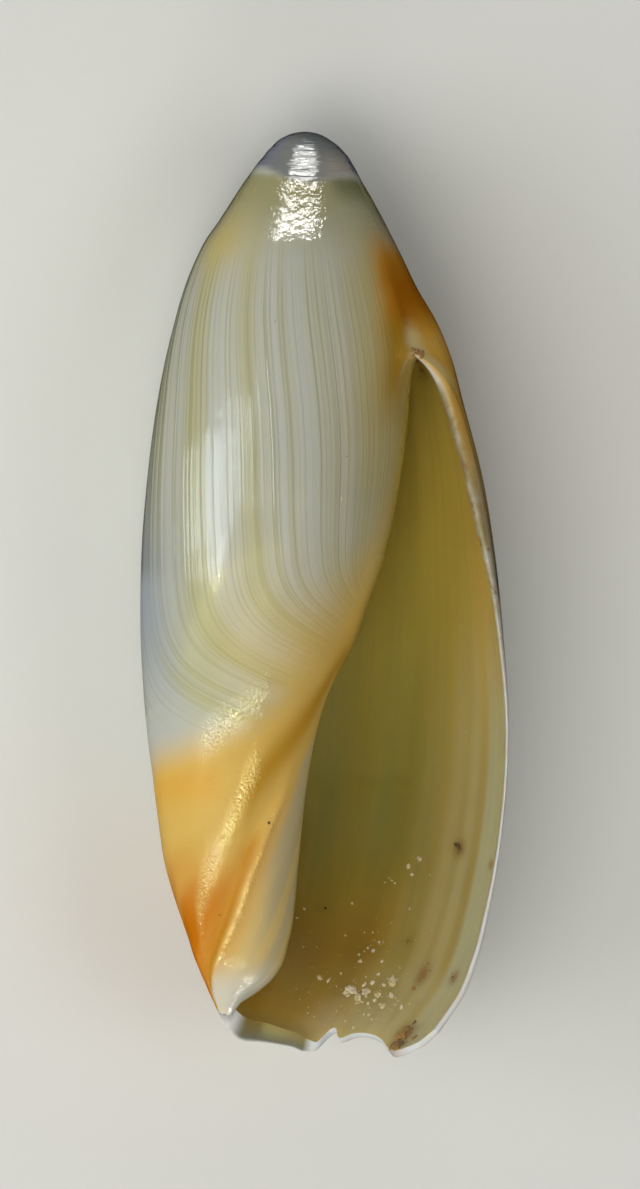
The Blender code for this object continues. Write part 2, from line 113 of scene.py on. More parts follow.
INNER_BACK = [
    (7.0, 4.1), (9.2, 4.6), (12.0, 4.6), (16.0, 4.3), (20.0, 3.4), (23.0, 2.5), (26.0, 1.85), (30.0, 1.65),
    (35.0, 1.55), (37.0, 0.95), (38.3, 0.3), (39.7, 0.12),
]
INNER_LEFT = [
    (6.0, 3.0), (9.2, 3.7), (14.0, 3.7), (19.0, 3.0), (23.0, 2.1), (27.0, 1.6), (33.0, 1.4), (37.0, 0.8),
    (38.3, 0.3), (39.7, 0.12),
]
INNER_FRONT = [(6.0, 2.6), (9.2, 3.3), (14.0, 3.3), (19.0, 2.7), (23.0, 1.9), (27.0, 1.5), (39.7, 0.12)]

# The outlines by turn: round the outside, then closed above the mouth and open beside it.
OUTER_TURNS = {
    CORNER_TURN: NEAR_LIP, 0: RIGHT, 45: RIGHT_BACK, 90: BACK, 112: BACK_TO_LEFT, 135: LEFT_BACK, 180: LEFT,
    270: FRONT,
}
CLOSED_TURNS = {**OUTER_TURNS, -90: FRONT, PARIETAL_TURN: NEAR_LIP, 360: RIGHT}
OPEN_TURNS = {
    **OUTER_TURNS, PARIETAL_TURN: PARIETAL, 360: INNER_RIGHT, 450: INNER_BACK, 540: INNER_LEFT,
    630: INNER_FRONT,
}

# How far the centre of the coil shifts towards +X near the base, by depth.
CENTRE_SHIFT = [
    (0.0, 0.0), (33.0, 0.0), (35.0, -0.08), (36.5, -0.28), (37.5, -0.48), (38.5, -0.65), (39.7, -0.75),
]

# The free edge: the lip's turn and thickness by depth, and the depth of the lower margin by turn, with
# the chipped notch from 12 to 44. The margin's bevel is how much shorter the inner face is, by turn.
LIP_TURN = [
    (9.2, CORNER_TURN), (10.0, -20.0), (11.5, -14.0), (14.0, -13.0), (16.0, -14.0), (18.0, -12.0),
    (20.0, -8.0), (23.0, -4.0), (27.0, 0.0), (39.7, 0.0),
]
LIP_WALL = [
    (9.2, 0.3), (9.7, 0.55), (10.3, 0.65), (12.0, 0.7), (14.0, 0.6), (16.0, 0.48), (19.0, 0.32),
    (36.0, 0.28), (38.4, 0.35), (39.7, 0.45),
]
MARGIN = [
    (0, 38.37), (4, 38.97), (8, 39.37), (12, 39.6), (16, 39.4), (20.5, 39.02), (24.5, 38.79), (29, 38.7),
    (32, 38.78), (34.3, 39.0), (36, 38.95), (38.5, 38.66), (40.2, 38.9), (42, 39.5), (44.4, 39.66),
    (53, 39.55), (67, 39.45), (80, 39.38), (84, 39.2), (92, 38.6), (98, 38.3), (110, 38.15), (180, 38.2),
    (270, 38.3), (486, 38.3),
]
MARGIN_BEVEL = [
    (0, 0.1), (12, 0.25), (18, 0.15), (40, 0.15), (45, 0.45), (60, 0.7), (84, 0.8), (93, 0.4), (102, 0.05),
]

# The pocket: the turn at which it ends and the reach of its rounded end by depth, and the depth and the
# roundness of its roof by turn.
POCKET_END = [
    (6.0, 250), (22.0, 250), (28.0, 205), (33.0, 165), (36.0, 135), (37.3, 112), (38.2, 103), (39.7, 100),
]
END_REACH = [(9.2, 0.7), (32.0, 0.7), (35.0, 0.4), (37.0, 0.1), (38.3, 0.0)]
ROOF = [(CORNER_TURN, MOUTH_TOP), (0, 8.6), (90, 7.7), (180, 7.0), (250, 6.7)]
ROOF_ROUND = [(CORNER_TURN, 0.15), (20, 1.3), (250, 1.3)]

# The columella's ridge runs down in a spiral, by depth. A groove lies behind it.
RIDGE_TURN = [(25.0, 300), (28.5, 294), (30.0, 282), (32.0, 270), (34.7, 253), (36.0, 240), (38.0, 222)]
RIDGE_HEIGHT = [(27.0, 0.0), (29.0, 0.06), (32.0, 0.14), (36.0, 0.16), (37.6, 0.04), (38.2, 0.0)]
GROOVE_DEPTH = [(27.0, 0.0), (29.0, 0.1), (32.0, 0.24), (36.0, 0.22), (37.6, 0.04), (38.2, 0.0)]
RIDGE_WIDTH = 0.32
GROOVE_WIDTH = 0.55
GROOVE_BEHIND = 0.6

# The fine mesh: its columns by stretch of turn, its rows, the points across the rounded edge, how proud
# that is for its thickness, and the angle from which an edge is drawn sharp.
CORNER_STEPS = 12
CORNER_END = 8
BACK_STRETCHES = [(8, 12, 2), (12, 44.4, 30), (44.4, 80, 10), (80, 153, 26)]
FRONT_STEPS = 150
POCKET_STEPS = 14
END_STEPS = 5
EDGE_STEPS = 5
EDGE_PROUD = 0.35
SHARP_ANGLE = 50
SPIRE_ROWS = 44
EASE_TOP = 7.6
EASE_LOW = 11.2
BODY_ROWS = 206
LOW_ROWS = 1.2

# Growth lines. Each is named by the turn where it crosses depth 14. Above and below, it leans over by
# these turns, and then it swings forward in a J that starts at this depth and steepens at this rate.
GROWTH_LEAN = [(0, -22), (4, -15), (8, -9.5), (10, -6), (12, -2.5), (14, 0), (16, 1.6), (18, 3.2), (39, 3.4)]
J_DEPTH = [
    (-30, 38.5), (45, 32.5), (90, 27.6), (140, 23.6), (196, 20.6), (221, 19.95), (264, 17.9), (300, 17.4),
]
J_RATE = [(190, 0.9), (221, 1.0), (264, 1.05), (300, 1.3)]

# The halving that finds a growth line: the lines it starts between, its steps and the
# limits of the J's exponent.
LINE_RANGE = (-900.0, 420.0)
LINE_HALVINGS = 26
SWING_RANGE = (-20, 4.8)

# Relief of the mesh: the growth ridges by height, spacing in lines and seed, the fasciole's threads by
# height, spacing, seed and lean over the turn, and the cap's rings and the groove below them.
GROWTH_RIDGES = [(0.004, 1.7, 3), (0.012, 5.5, 4), (0.03, 19, 5)]
THREADS = [(0.02, 1.3, 6, 0.01), (0.03, 3.1, 7, 0.0)]
CAP_RINGS = 0.013
CAP_GROOVE = 0.03
NOISE_POINTS = 4096

# Where the growth lines end and the fasciole, the smooth band round the base, begins: depth by turn.
FASCIOLE_TOP = [
    (-26, 41.0), (20, 39.5), (45, 36.0), (90, 31.5), (135, 28.4), (180, 26.4), (240, 26.0), (280, 24.4),
    (300, 23.2), (320, 21.2), (334, 19.6),
]
# Where the fasciole's gold begins: depth by turn.
GOLD_TOP = [
    (-26, 41.0), (20, 39.5), (45, 36.6), (90, 32.3), (135, 29.2), (180, 27.4), (215, 26.7), (240, 26.0),
    (280, 24.6), (300, 23.4), (320, 21.4), (334, 19.8),
]
# Where the fasciole is glossiest: depth by turn.
SHEEN_DEPTH = [
    (205, 35.0), (218, 33.7), (227, 32.6), (237, 31.7), (246, 30.4), (252, 29.5), (256, 28.6), (264, 27.5),
]
# The amber streak across the fasciole and the upper edge of the pale pillar below it: depth by turn.
STREAK_DEPTH = [(230, 33.5), (250, 30.5), (262, 29.0), (270, 28.0), (290, 26.5), (310, 25.0), (334, 22.8)]
PILLAR_TOP = [
    (225, 38.0), (240, 36.3), (252, 34.4), (262, 32.4), (275, 30.5), (290, 28.6), (310, 27.0), (334, 25.4),
]

# The share of olive in the shell's grey by growth line, and the thin dark lines: line, width, strength.
OLIVE_BANDS = [
    (100, 0.3), (186, 0.2), (191, 0.7), (196, 0.3), (200, 0.6), (206, 0.15), (214, 0.1), (218, 0.25),
    (223, 0.75), (229, 0.8), (233, 0.45), (238, 0.1), (246, 0.1), (250, 0.45), (254, 0.75), (258, 0.45),
    (263, 0.15), (276, 0.2), (282, 0.1), (288, 0.4), (294, 0.25), (304, 0.35), (322, 0.5), (334, 0.6),
]
DARK_LINES = [
    (187.5, 0.4, 0.5), (194.5, 0.6, 0.8), (202.5, 0.4, 0.4), (214.0, 0.35, 0.4), (220.4, 0.45, 0.9),
    (222.6, 0.4, 0.7), (229.2, 0.6, 0.8), (236.0, 0.35, 0.5), (243.5, 0.5, 0.7), (258.8, 0.4, 0.5),
    (263.9, 0.4, 0.9), (267.2, 0.4, 0.6), (279.0, 0.35, 0.4), (286.5, 0.5, 0.7), (291.5, 0.3, 0.4),
    (296.2, 0.4, 0.8), (300.4, 0.4, 0.6), (309.0, 0.5, 0.4),
]

# The pale and the green bands inside the wall, by line. A line is named by its turn at depth 30.
WALL_LEAN = [(9.2, 8), (14, 5), (18, 1.8), (22, 0.2), (30, 0), (39.7, 0.5)]
PALE_BANDS = [
    (0, 1), (13, 1), (14.8, 0.35), (16.6, 0.45), (18, 0.7), (20.5, 0.8), (22.5, 0.4), (24.5, 0.65),
    (27, 0.45), (28.5, 0.25), (33, 0.2), (40, 0.0), (90, 0.0),
]
GREEN_BANDS = [(30, 0.1), (36, 0.5), (43, 1), (53, 0.9), (57, 0.35), (60, 0.7), (72, 0.9), (90, 0.9)]

# Colours of the body, the cap and the shoulder below it.
PEARL = (0.47, 0.475, 0.41)
CREAM = (0.50, 0.475, 0.30)
OLIVE = (0.42, 0.405, 0.22)
SHADE = (0.20, 0.19, 0.10)
CAP_GREY = (0.17, 0.185, 0.18)
CAP_PALE = (0.25, 0.25, 0.23)
CAP_RIGHT = (0.36, 0.33, 0.29)
CAP_LEFT = (0.20, 0.205, 0.26)
SHOULDER = (0.30, 0.275, 0.11)
SHOULDER_RIGHT = (0.34, 0.33, 0.17)
# Colours of the fasciole, the columella and the amber patch at the mouth's upper corner.
GOLD = (0.65, 0.42, 0.10)
GOLD_DARK = (0.61, 0.39, 0.09)
GOLD_BAND = (0.65, 0.36, 0.055)
ORANGE = (0.52, 0.15, 0.001)
AMBER = (0.40, 0.13, 0.0)
AMBER_EDGE = (0.55, 0.27, 0.03)
LIP_GOLD = (0.66, 0.38, 0.045)
PILLAR_GREY = (0.50, 0.41, 0.22)
PILLAR_CREAM = (0.62, 0.46, 0.18)
# Colours of the free edge: the lip, and the bevel of the lower margin.
WHITE = (0.60, 0.62, 0.61)
WHITE_DULL = (0.58, 0.58, 0.52)
BEVEL_GREEN = (0.15, 0.155, 0.10)
BEVEL_INNER = (0.20, 0.145, 0.035)
LIP_WORN = (0.24, 0.195, 0.08)
LIP_PITS = (0.20, 0.13, 0.06)
LIP_AMBER = (0.50, 0.30, 0.06)
EDGE_STAIN = (0.16, 0.07, 0.01)
# Colours inside the wall.
INNER_OLIVE = (0.30, 0.22, 0.028)
INNER_TAN = (0.37, 0.255, 0.032)
INNER_GREEN = (0.235, 0.22, 0.045)
# A golden glow painted in near the top, standing in for light that comes through the thin wall.
PAINTED_INNER_GLOW = (0.58, 0.455, 0.075)
INNER_BROWN = (0.30, 0.16, 0.008)
INNER_LIP = (0.58, 0.38, 0.08)
INNER_PALE = (0.50, 0.45, 0.24)
INNER_STREAK = (0.24, 0.18, 0.04)
INNER_STAIN = (0.20, 0.09, 0.01)
# Colours of the dirt and the sand, each with a second one that mottles it.
DIRT = ((0.03, 0.016, 0.004), (0.34, 0.16, 0.02))
SAND = ((0.68, 0.57, 0.43), (0.50, 0.38, 0.16))
CRUST = ((0.38, 0.19, 0.05), (0.12, 0.05, 0.01))
FLOOR = ((0.72, 0.72, 0.70), (0.69, 0.69, 0.67))

# Plain layers of colour, laid one over the other: the mask, its strength and the colour.
# The first body layer is partly painted shade on the front's right side, partly the shell's own olive tint.
# The second body layer is a painted bluish reflection low on the body's left side.
BODY_LAYERS = [("front_shade", 0.3, (0.36, 0.32, 0.15)), ("painted_blue_sheen", 0.85, (0.29, 0.32, 0.36))]
UPPER_LAYERS = [
    ("under_cap", 0.8, (0.52, 0.42, 0.14)),
    ("amber_wash", 0.6, (0.50, 0.36, 0.07)),
    ("j_olive", 0.5, (0.42, 0.40, 0.19)),
    ("j_yellow", 0.45, (0.62, 0.50, 0.20)),
    ("gold_right", 0.85, (0.62, 0.42, 0.10)),
]
FASCIOLE_LAYERS = [("streak", 0.9, (0.44, 0.23, 0.015)), ("groove", 0.85, (0.50, 0.20, 0.004))]
COLUMELLA_LAYERS = [("ridge", 0.5, (0.70, 0.42, 0.14)), ("tip", 0.9, (0.62, 0.60, 0.50))]
CORNER_LAYERS = [
    ("corner_gold", 0.9, (0.36, 0.19, 0.004)),
    ("lip_orange", 0.95, (0.66, 0.22, 0.002)),
    ("callus", 0.9, (0.74, 0.60, 0.28)),
    ("cap_shade", 0.85, (0.16, 0.17, 0.08)),
]
WALL_PALE_LAYERS = [("pale", 0.62, INNER_PALE), ("lip_pale", 0.7, (0.38, 0.41, 0.27))]
WALL_EDGE_LAYERS = [("bevel", 0.7, BEVEL_INNER), ("white_corner", 1.0, WHITE)]

# How fast the streaks change across and along the growth lines, from wide ones to fine ones.
SKIN_STREAKS = [(0.16, 0.02), (0.62, 0.03), (2.3, 0.05)]
WALL_STREAKS = [(0.13, 0.04), (0.5, 0.06)]

# Relief that is in the materials alone: ribs and dark lines in the shell and in its glaze, the pits of
# the fasciole, the dimples of the shoulder and of the cap, slow waves all over, the streaks and the
# grain of the wall's inner face, the grain and the waves of the edge, and the grain of crumbs and floor.
RIBS = 0.012
FINE_RIBS = 0.006
LINE_GROOVES = -0.008
GLAZE_RIBS = 0.028
GLAZE_LINE_GROOVES = -0.02
PITS = 0.055
FAINT_PITS = 0.001
DIMPLES = 0.06
CAP_DIMPLES = 0.08
WAVES = 0.006
INNER_RELIEF = 0.006
EDGE_GRAIN = 0.01
EDGE_WAVES = 0.02
CRUMB_GRAIN = 0.02
FLOOR_GRAIN = 0.01

# Sand and dirt inside the mouth: turn, depth, their spreads, how many, and the smallest and largest.
SAND_PATCHES = [
    (34.5, 31.4, 1.2, 0.25, 3, 0.25, 0.55), (40, 32.0, 2.0, 0.2, 4, 0.12, 0.3),
    (33, 33.1, 0.6, 0.1, 1, 0.2, 0.25), (52, 33.3, 0.5, 0.1, 1, 0.15, 0.2),
    (69, 33.7, 1.2, 0.15, 2, 0.12, 0.2), (41, 34.6, 4.0, 0.4, 14, 0.06, 0.2),
    (40, 36.0, 7.0, 0.6, 26, 0.06, 0.28), (36, 37.0, 5.0, 0.35, 34, 0.08, 0.55),
    (24, 37.4, 2.0, 0.3, 10, 0.12, 0.4), (23, 25.4, 0.2, 0.05, 1, 0.12, 0.14),
    (30, 35.5, 14.0, 2.2, 60, 0.03, 0.09), (50, 36.5, 9.0, 1.0, 40, 0.03, 0.1),
    (32, 38.0, 4.0, 0.2, 8, 0.1, 0.25),
]
DIRT_PATCHES = [
    (21.5, 30.4, 0.9, 0.2, 6, 0.15, 0.38), (61, 33.5, 0.5, 0.08, 2, 0.12, 0.2),
    (30, 34.6, 0.3, 0.08, 2, 0.12, 0.2), (21.5, 36.0, 0.8, 0.3, 7, 0.12, 0.3),
    (10, 36.0, 0.8, 0.15, 4, 0.08, 0.2), (13, 38.5, 2.0, 0.2, 20, 0.12, 0.4),
    (13, 39.1, 1.2, 0.12, 20, 0.16, 0.5), (6, 31.0, 0.6, 0.1, 2, 0.05, 0.09),
    (27, 9.9, 2.5, 0.25, 12, 0.06, 0.2), (78, 36.4, 1.0, 0.2, 3, 0.05, 0.1),
]
# The same for dark specks on the outside, and for the brown crust in the mouth's upper corner.
SKIN_PATCHES = [
    (260.4, 8.4, 0.1, 0.02, 1, 0.1, 0.14), (299.0, 13.9, 0.1, 0.02, 1, 0.1, 0.14),
    (280.9, 29.9, 0.1, 0.02, 1, 0.13, 0.17), (239.9, 34.1, 0.1, 0.02, 1, 0.1, 0.14),
]
CRUST_PATCHES = [(-25.0, 9.25, 1.2, 0.09, 8, 0.18, 0.42), (333.0, 9.25, 1.0, 0.09, 6, 0.16, 0.36)]
# How far crumbs keep from the lower margin, the size from which a crumb is made finer, the range of its
# widths, how flat it lies, how rough it is and on what scale, and how far its middle is above the face.
CRUMB_MARGIN = 0.15
FINE_CRUMB = 0.2
CRUMB_WIDTHS = (0.35, 1.0)
CRUMB_FLATNESS = 0.5
CRUMB_ROUGHNESS = 0.9
CRUMB_NOISE = 3.1
CRUMB_LIFT = 0.3

# The camera, a metre away: the middle of its view across and down from the apex, and the view's height.
CAMERA_AWAY = 1000
VIEW_ACROSS = 0.519
VIEW_DOWN = 20.0
VIEW_HEIGHT = 51.4
SENSOR = 36

# Soft lights: degrees right of the camera's line and above it, distance, width, height, power, colour.
# Each makes what its name begins with: a broad shine, small sparkles, or the soft light that fills in.
LIGHTS = {
    "shine_left": (-58, 3, 260, 205, 66, 0.25, (0.78, 0.90, 1.0)),
    "shine_low_left": (-44, -12, 260, 205, 70, 0.29, (0.78, 0.90, 1.0)),
    "shine_top": (-4.5, 64, 260, 162, 25, 0.36, (1.0, 0.99, 0.95)),
    "shine_crown": (-7, 75, 260, 165, 52, 0.24, (1.0, 0.99, 0.96)),
    "shine_apex": (-7, 88, 260, 165, 50, 0.10, (0.96, 0.99, 1.0)),
    "sparkle_left": (-66, -16, 260, 190, 22, 0.36, (1.0, 0.97, 0.38)),
    "sparkle_middle": (-28, -16, 260, 190, 22, 0.36, (1.0, 0.97, 0.38)),
    "sparkle_right": (8, -16, 260, 150, 22, 0.30, (1.0, 0.97, 0.38)),
    "sparkle_low": (-8, -27, 260, 220, 30, 0.50, (1.0, 0.98, 0.50)),
    "sparkle_below": (74, -63, 260, 150, 60, 0.40, (1.0, 0.99, 0.96)),
    "fill_left": (-50, -4, 400, 260, 260, 0.72, (0.95, 0.97, 1.0)),
    "fill_front": (-12, -14, 500, 260, 260, 1.06, (1.0, 0.98, 0.94)),
    "fill_top": (-10, 75, 400, 260, 200, 0.35, (0.95, 0.98, 1.0)),
    "fill_below": (-10, -68, 400, 260, 200, 0.35, (0.98, 0.98, 1.0)),
    "fill_right": (42, -10, 400, 200, 260, 0.32, (1.0, 0.97, 0.92)),
}
WORLD_COLOUR = (0.82, 0.86, 0.92, 1)
WORLD_STRENGTH = 0.06
# Half the floor's width, in metres.
FLOOR_HALF = 3.0


def smooth(table, at):
    """A smooth curve through the table's points, level past its ends."""
    xs, ys = np.array(table, float).T
    slopes = np.gradient(ys, xs)
    i = np.clip(np.searchsorted(xs, at) - 1, 0, len(xs) - 2)
    span = xs[i + 1] - xs[i]
    t = np.clip((at - xs[i]) / span, 0, 1)
    bend = t * t * (3 - 2 * t)
    return (
        ys[i] * (1 - bend)
        + ys[i + 1] * bend
        + span * t * (1 - t) * (slopes[i] * (1 - t) - slopes[i + 1] * t)
    )


def log_slope(table, depth):
    """The logarithm of radius over the root of depth, which stays finite at the round apex."""
    roots = [(np.sqrt(d), np.log(r / np.sqrt(d))) for d, r in table]
    return smooth(roots, np.sqrt(depth))


def even_slopes(xs, ys):
    """Slopes at the points along the first axis, for a curve that rises or falls only as they do."""
    gaps = np.diff(xs)[:, None]
    rises = np.diff(ys, axis=0) / gaps
    before, after = rises[:-1], rises[1:]
    before_share = 2 * gaps[1:] + gaps[:-1]
    after_share = gaps[1:] + 2 * gaps[:-1]
    same_way = before * after > 0
    inner = before_share * after + after_share * before
    middle = (before_share + after_share) * before * after / np.where(same_way, inner, 1)
    return np.vstack([rises[:1], np.where(same_way, middle, 0), rises[-1:]])


def step(t):
    t = np.clip(t, 0, 1)
    return t * t * (3 - 2 * t)


def rise(at, start, width):
    """From 0 at the start to 1 a width further on."""
    return step((at - start) / width)


def fall(at, start, width):
    """From 1 at the start to 0 a width further on."""
    return 1 - step((at - start) / width)


def bump(offset, width):
    return np.exp(-((offset / width) ** 2))


def radius(turn, depth, outlines):
    """The radius at each turn and depth, growing geometrically between the outlines."""
    turns = np.array(sorted(outlines), float)
    turn, depth = np.broadcast_arrays(turn, depth)
    shape = turn.shape
    turn, depth = turn.ravel(), depth.ravel()
    logs = np.array([log_slope(outlines[t], depth) for t in turns])
    slopes = even_slopes(turns, logs)
    i = np.clip(np.searchsorted(turns, turn) - 1, 0, len(turns) - 2)
    each = np.arange(len(turn))
    span = turns[i + 1] - turns[i]
    t = np.clip((turn - turns[i]) / span, 0, 1)
    log = logs[i, each] * (1 - step(t)) + logs[i + 1, each] * step(t)
    log += span * t * (1 - t) * (slopes[i, each] * (1 - t) - slopes[i + 1, each] * t)
    return (np.exp(log) * np.sqrt(depth)).reshape(shape)


def ridge_offset(turn, depth):
    """How far round each point lies in front of the columella's ridge, in mm."""
    return np.radians(turn - smooth(RIDGE_TURN, depth)) * smooth(FRONT, depth)


def columella_relief(turn, depth):
    """The ridge that winds down the columella, and the groove behind it."""
    offset = ridge_offset(turn, depth)
    ridge = smooth(RIDGE_HEIGHT, depth) * bump(offset, RIDGE_WIDTH)
    groove = smooth(GROOVE_DEPTH, depth) * bump(offset + GROOVE_BEHIND, GROOVE_WIDTH)
    return ridge - groove


def placed(turn, depth, radii):
    """Points in millimetres, before the shell is leaned and laid down."""
    angle = np.radians(turn)
    across = smooth(CENTRE_SHIFT, depth) + radii * np.cos(angle)
    return np.stack([across, -depth + 0 * radii, -radii * np.sin(angle)], axis=-1)


def wall_thickness(turn, depth):
    lip = smooth(LIP_WALL, depth)
    return lip + (WALL - lip) * rise(turn, smooth(LIP_TURN, depth), LIP_TAPER)


def between(start, end, steps):
    """Even steps from start to end, without the start."""
    return start + (end - start) * np.arange(1, steps + 1) / steps


def skin_turns(depth):
    """The turns of the skin's columns on the rows at these depths."""
    lip = smooth(LIP_TURN, depth)[:, None]
    corner = lip + (CORNER_END - lip) * np.arange(CORNER_STEPS + 1) / CORNER_STEPS
    fixed = [between(*stretch) for stretch in BACK_STRETCHES]
    fixed.append(between(BACK_STRETCHES[-1][1], PARIETAL_TURN, FRONT_STEPS))
    return np.hstack([corner, np.repeat([np.concatenate(fixed)], len(depth), 0)])


def pocket_turns(depth):
    """The turns of the pocket's columns, from the lip round to its closed end."""
    shared = CORNER_STEPS + 1 + sum(steps for _, _, steps in BACK_STRETCHES[:3])
    fixed = skin_turns(depth)[:, :shared]
    return np.hstack([fixed, between(fixed[:, -1:], smooth(POCKET_END, depth)[:, None], POCKET_STEPS)])


def body_rows():
    t = np.arange(1, BODY_ROWS + 1) / BODY_ROWS
    return 1 - (1 - t) ** LOW_ROWS


def down_to(margin, top, rows):
    """The depths of the rows, from the top to the margin."""
    return top + (margin - top) * rows[:, None]


def lean_of(table, at):
    xs, ys = np.array(table, float).T
    return np.interp(at, xs, ys)


def growth_line(turn, depth):
    """The growth line through each point. It is found by halving, because the J has no plain inverse."""
    low, high = [np.full(turn.shape, limit) for limit in LINE_RANGE]
    lean = lean_of(GROWTH_LEAN, depth)
    for _ in range(LINE_HALVINGS):
        line = (low + high) / 2
        swing = np.exp(np.clip(lean_of(J_RATE, line) * (depth - lean_of(J_DEPTH, line)), *SWING_RANGE))
        over = line + lean + swing > turn
        high = np.where(over, line, high)
        low = np.where(over, low, line)
    return (low + high) / 2


def wavering(at, every, seed):
    """Smooth seeded noise along a line, from -1 to 1."""
    values = np.random.default_rng(seed).uniform(-1, 1, NOISE_POINTS)
    place = at / every + 2000
    i = np.floor(place).astype(int)
    share = step(place - i)
    return values[i % NOISE_POINTS] * (1 - share) + values[(i + 1) % NOISE_POINTS] * share


def below_fasciole_top(turn, depth):
    return depth - smooth(FASCIOLE_TOP, np.clip(turn, CORNER_TURN, PARIETAL_TURN))


def off_seam(turn):
    """0 at the seam beside the mouth and 1 away from it."""
    return rise(turn, CORNER_TURN + 2, 12) * fall(turn, PARIETAL_TURN - 8, 9)


def lined(turn, depth):
    """How strongly the growth lines show: not on the smooth cap, nor on the fasciole, nor at the seam."""
    return rise(depth, 3.2, 5) * fall(below_fasciole_top(turn, depth), -1.6, 2.0) * off_seam(turn)


def skin_relief(turn, depth):
    """Growth ridges on the body, rings on the cap and faint spiral threads on the fasciole, in mm."""
    line = growth_line(turn, depth)
    ridges = sum(height * wavering(line, every, seed) for height, every, seed in GROWTH_RIDGES)
    below = below_fasciole_top(turn, depth)
    threads = sum(
        height * wavering(below + lean * turn, every, seed) for height, every, seed, lean in THREADS
    )
    threads = threads * rise(below, 0, 1.5) * fall(depth, 35.8, 1.5)
    rings = CAP_RINGS * np.cos(depth * 13) * bump(depth - 0.9, 0.7) - CAP_GROOVE * bump(depth - 2.0, 0.13)
    return ridges * lined(turn, depth) + (threads + rings) * off_seam(turn)


def skin_radius(turn, depth):
    """The skin's radius, with a smooth passage from the closed top to the body beside the mouth."""
    closed, opened = radius(turn, depth, CLOSED_TURNS), radius(turn, depth, OPEN_TURNS)
    plain = np.where(depth < MOUTH_TOP, closed, opened)
    span = EASE_LOW - EASE_TOP
    top, low = radius(turn, EASE_TOP, CLOSED_TURNS), radius(turn, EASE_LOW, OPEN_TURNS)
    top_slope = (top - radius(turn, EASE_TOP - 0.1, CLOSED_TURNS)) / 0.1
    low_slope = (radius(turn, EASE_LOW + 0.1, OPEN_TURNS) - low) / 0.1
    t = np.clip((depth - EASE_TOP) / span, 0, 1)
    eased = top * (1 - step(t)) + low * step(t) + span * t * (1 - t) * (top_slope * (1 - t) - low_slope * t)
    share = rise(turn, 200, 60) * fall(turn, PARIETAL_TURN - 12, 12) * ((t > 0) & (t < 1))
    return plain + (eased - plain) * share


def spire_points():
    root = np.sqrt(MOUTH_TOP) * np.arange(1, SPIRE_ROWS + 1) / SPIRE_ROWS
    turn = skin_turns(np.full(SPIRE_ROWS, MOUTH_TOP))
    depth = np.repeat((root**2)[:, None], turn.shape[1], 1)
    return turn, depth, placed(turn, depth, skin_radius(turn, depth) + skin_relief(turn, depth))


def skin_points(rows):
    guide = MOUTH_TOP + (MARGIN_DEPTH - MOUTH_TOP) * rows
    turn = skin_turns(guide)
    depth = down_to(smooth(MARGIN, turn), MOUTH_TOP, rows)
    radii = skin_radius(turn, depth) + columella_relief(turn, depth) + skin_relief(turn, depth)
    return turn, depth, placed(turn, depth, radii)


def inner_face(turn, depth):
    """Points on the wall's inner face, square in from the skin at each turn and depth."""
    out = radius(turn, depth, OPEN_TURNS)
    slope = (radius(turn + 1, depth, OPEN_TURNS) - radius(turn - 1, depth, OPEN_TURNS)) / np.radians(2)
    angle = np.radians(turn)
    square_x = out * np.cos(angle) + slope * np.sin(angle)
    square_z = slope * np.cos(angle) - out * np.sin(angle)
    square = np.stack([square_x, 0 * out, square_z], -1)
    square /= np.linalg.norm(square, axis=-1, keepdims=True)
    return placed(turn, depth, out) - square * wall_thickness(turn, depth)[..., None]


def pocket_points(rows):
    """The rows of the wall's inner face, of the pocket's closed end and of the core, from the roof down."""
    rows = np.append(0, rows)
    turn = pocket_turns(MOUTH_TOP + (MARGIN_DEPTH - MOUTH_TOP) * rows)
    lip, end = turn[:, :1], turn[:, -1:]
    core_turn = PARIETAL_TURN + (turn - lip) * (end + 360 - PARIETAL_TURN) / (end - lip)
    top = smooth(ROOF, turn)
    depth = down_to(smooth(MARGIN, turn) - smooth(MARGIN_BEVEL, turn), top, rows)
    core_depth = down_to(smooth(MARGIN, core_turn), top, rows)
    wall = inner_face(turn, depth)
    core = placed(core_turn, core_depth, radius(core_turn, core_depth, OPEN_TURNS))
    opened = np.clip((depth - top) / smooth(ROOF_ROUND, turn), 0, 1)
    opened = np.sqrt(1 - (1 - opened) ** 2)[..., None]
    middle = (wall + core) / 2
    wall = middle + (wall - middle) * opened
    core = middle + (core - middle) * opened
    reach = smooth(END_REACH, depth[:, -1:])
    return turn, depth, wall, closed_end(end, reach, wall[:, -1:], core[:, -1:]), core_turn, core_depth, core


def closed_end(turn, reach, wall, core):
    """The rounded end of the pocket, from the wall to the core."""
    share = np.pi * np.arange(1, END_STEPS)[:, None] / END_STEPS
    half = (wall - core) / 2
    onward = np.stack([-np.sin(np.radians(turn)), 0 * turn, -np.cos(np.radians(turn))], -1)
    reach = reach[..., None] * np.linalg.norm(half, axis=-1, keepdims=True)
    return (wall + core) / 2 + half * np.cos(share) + onward * reach * np.sin(share)


def rounded_edge(outer, inner, forward):
    """Points from the outer edge to the inner one, over a rounded crest."""
    share = np.arange(1, EDGE_STEPS) / EDGE_STEPS
    share = share[:, None]
    outer, inner, forward = outer[:, None], inner[:, None], forward[:, None]
    thick = np.linalg.norm(inner - outer, axis=-1, keepdims=True)
    return outer + (inner - outer) * share + forward * thick * EDGE_PROUD * np.sin(np.pi * share)


SKIN, WALL_FACE, EDGE = 0, 1, 2


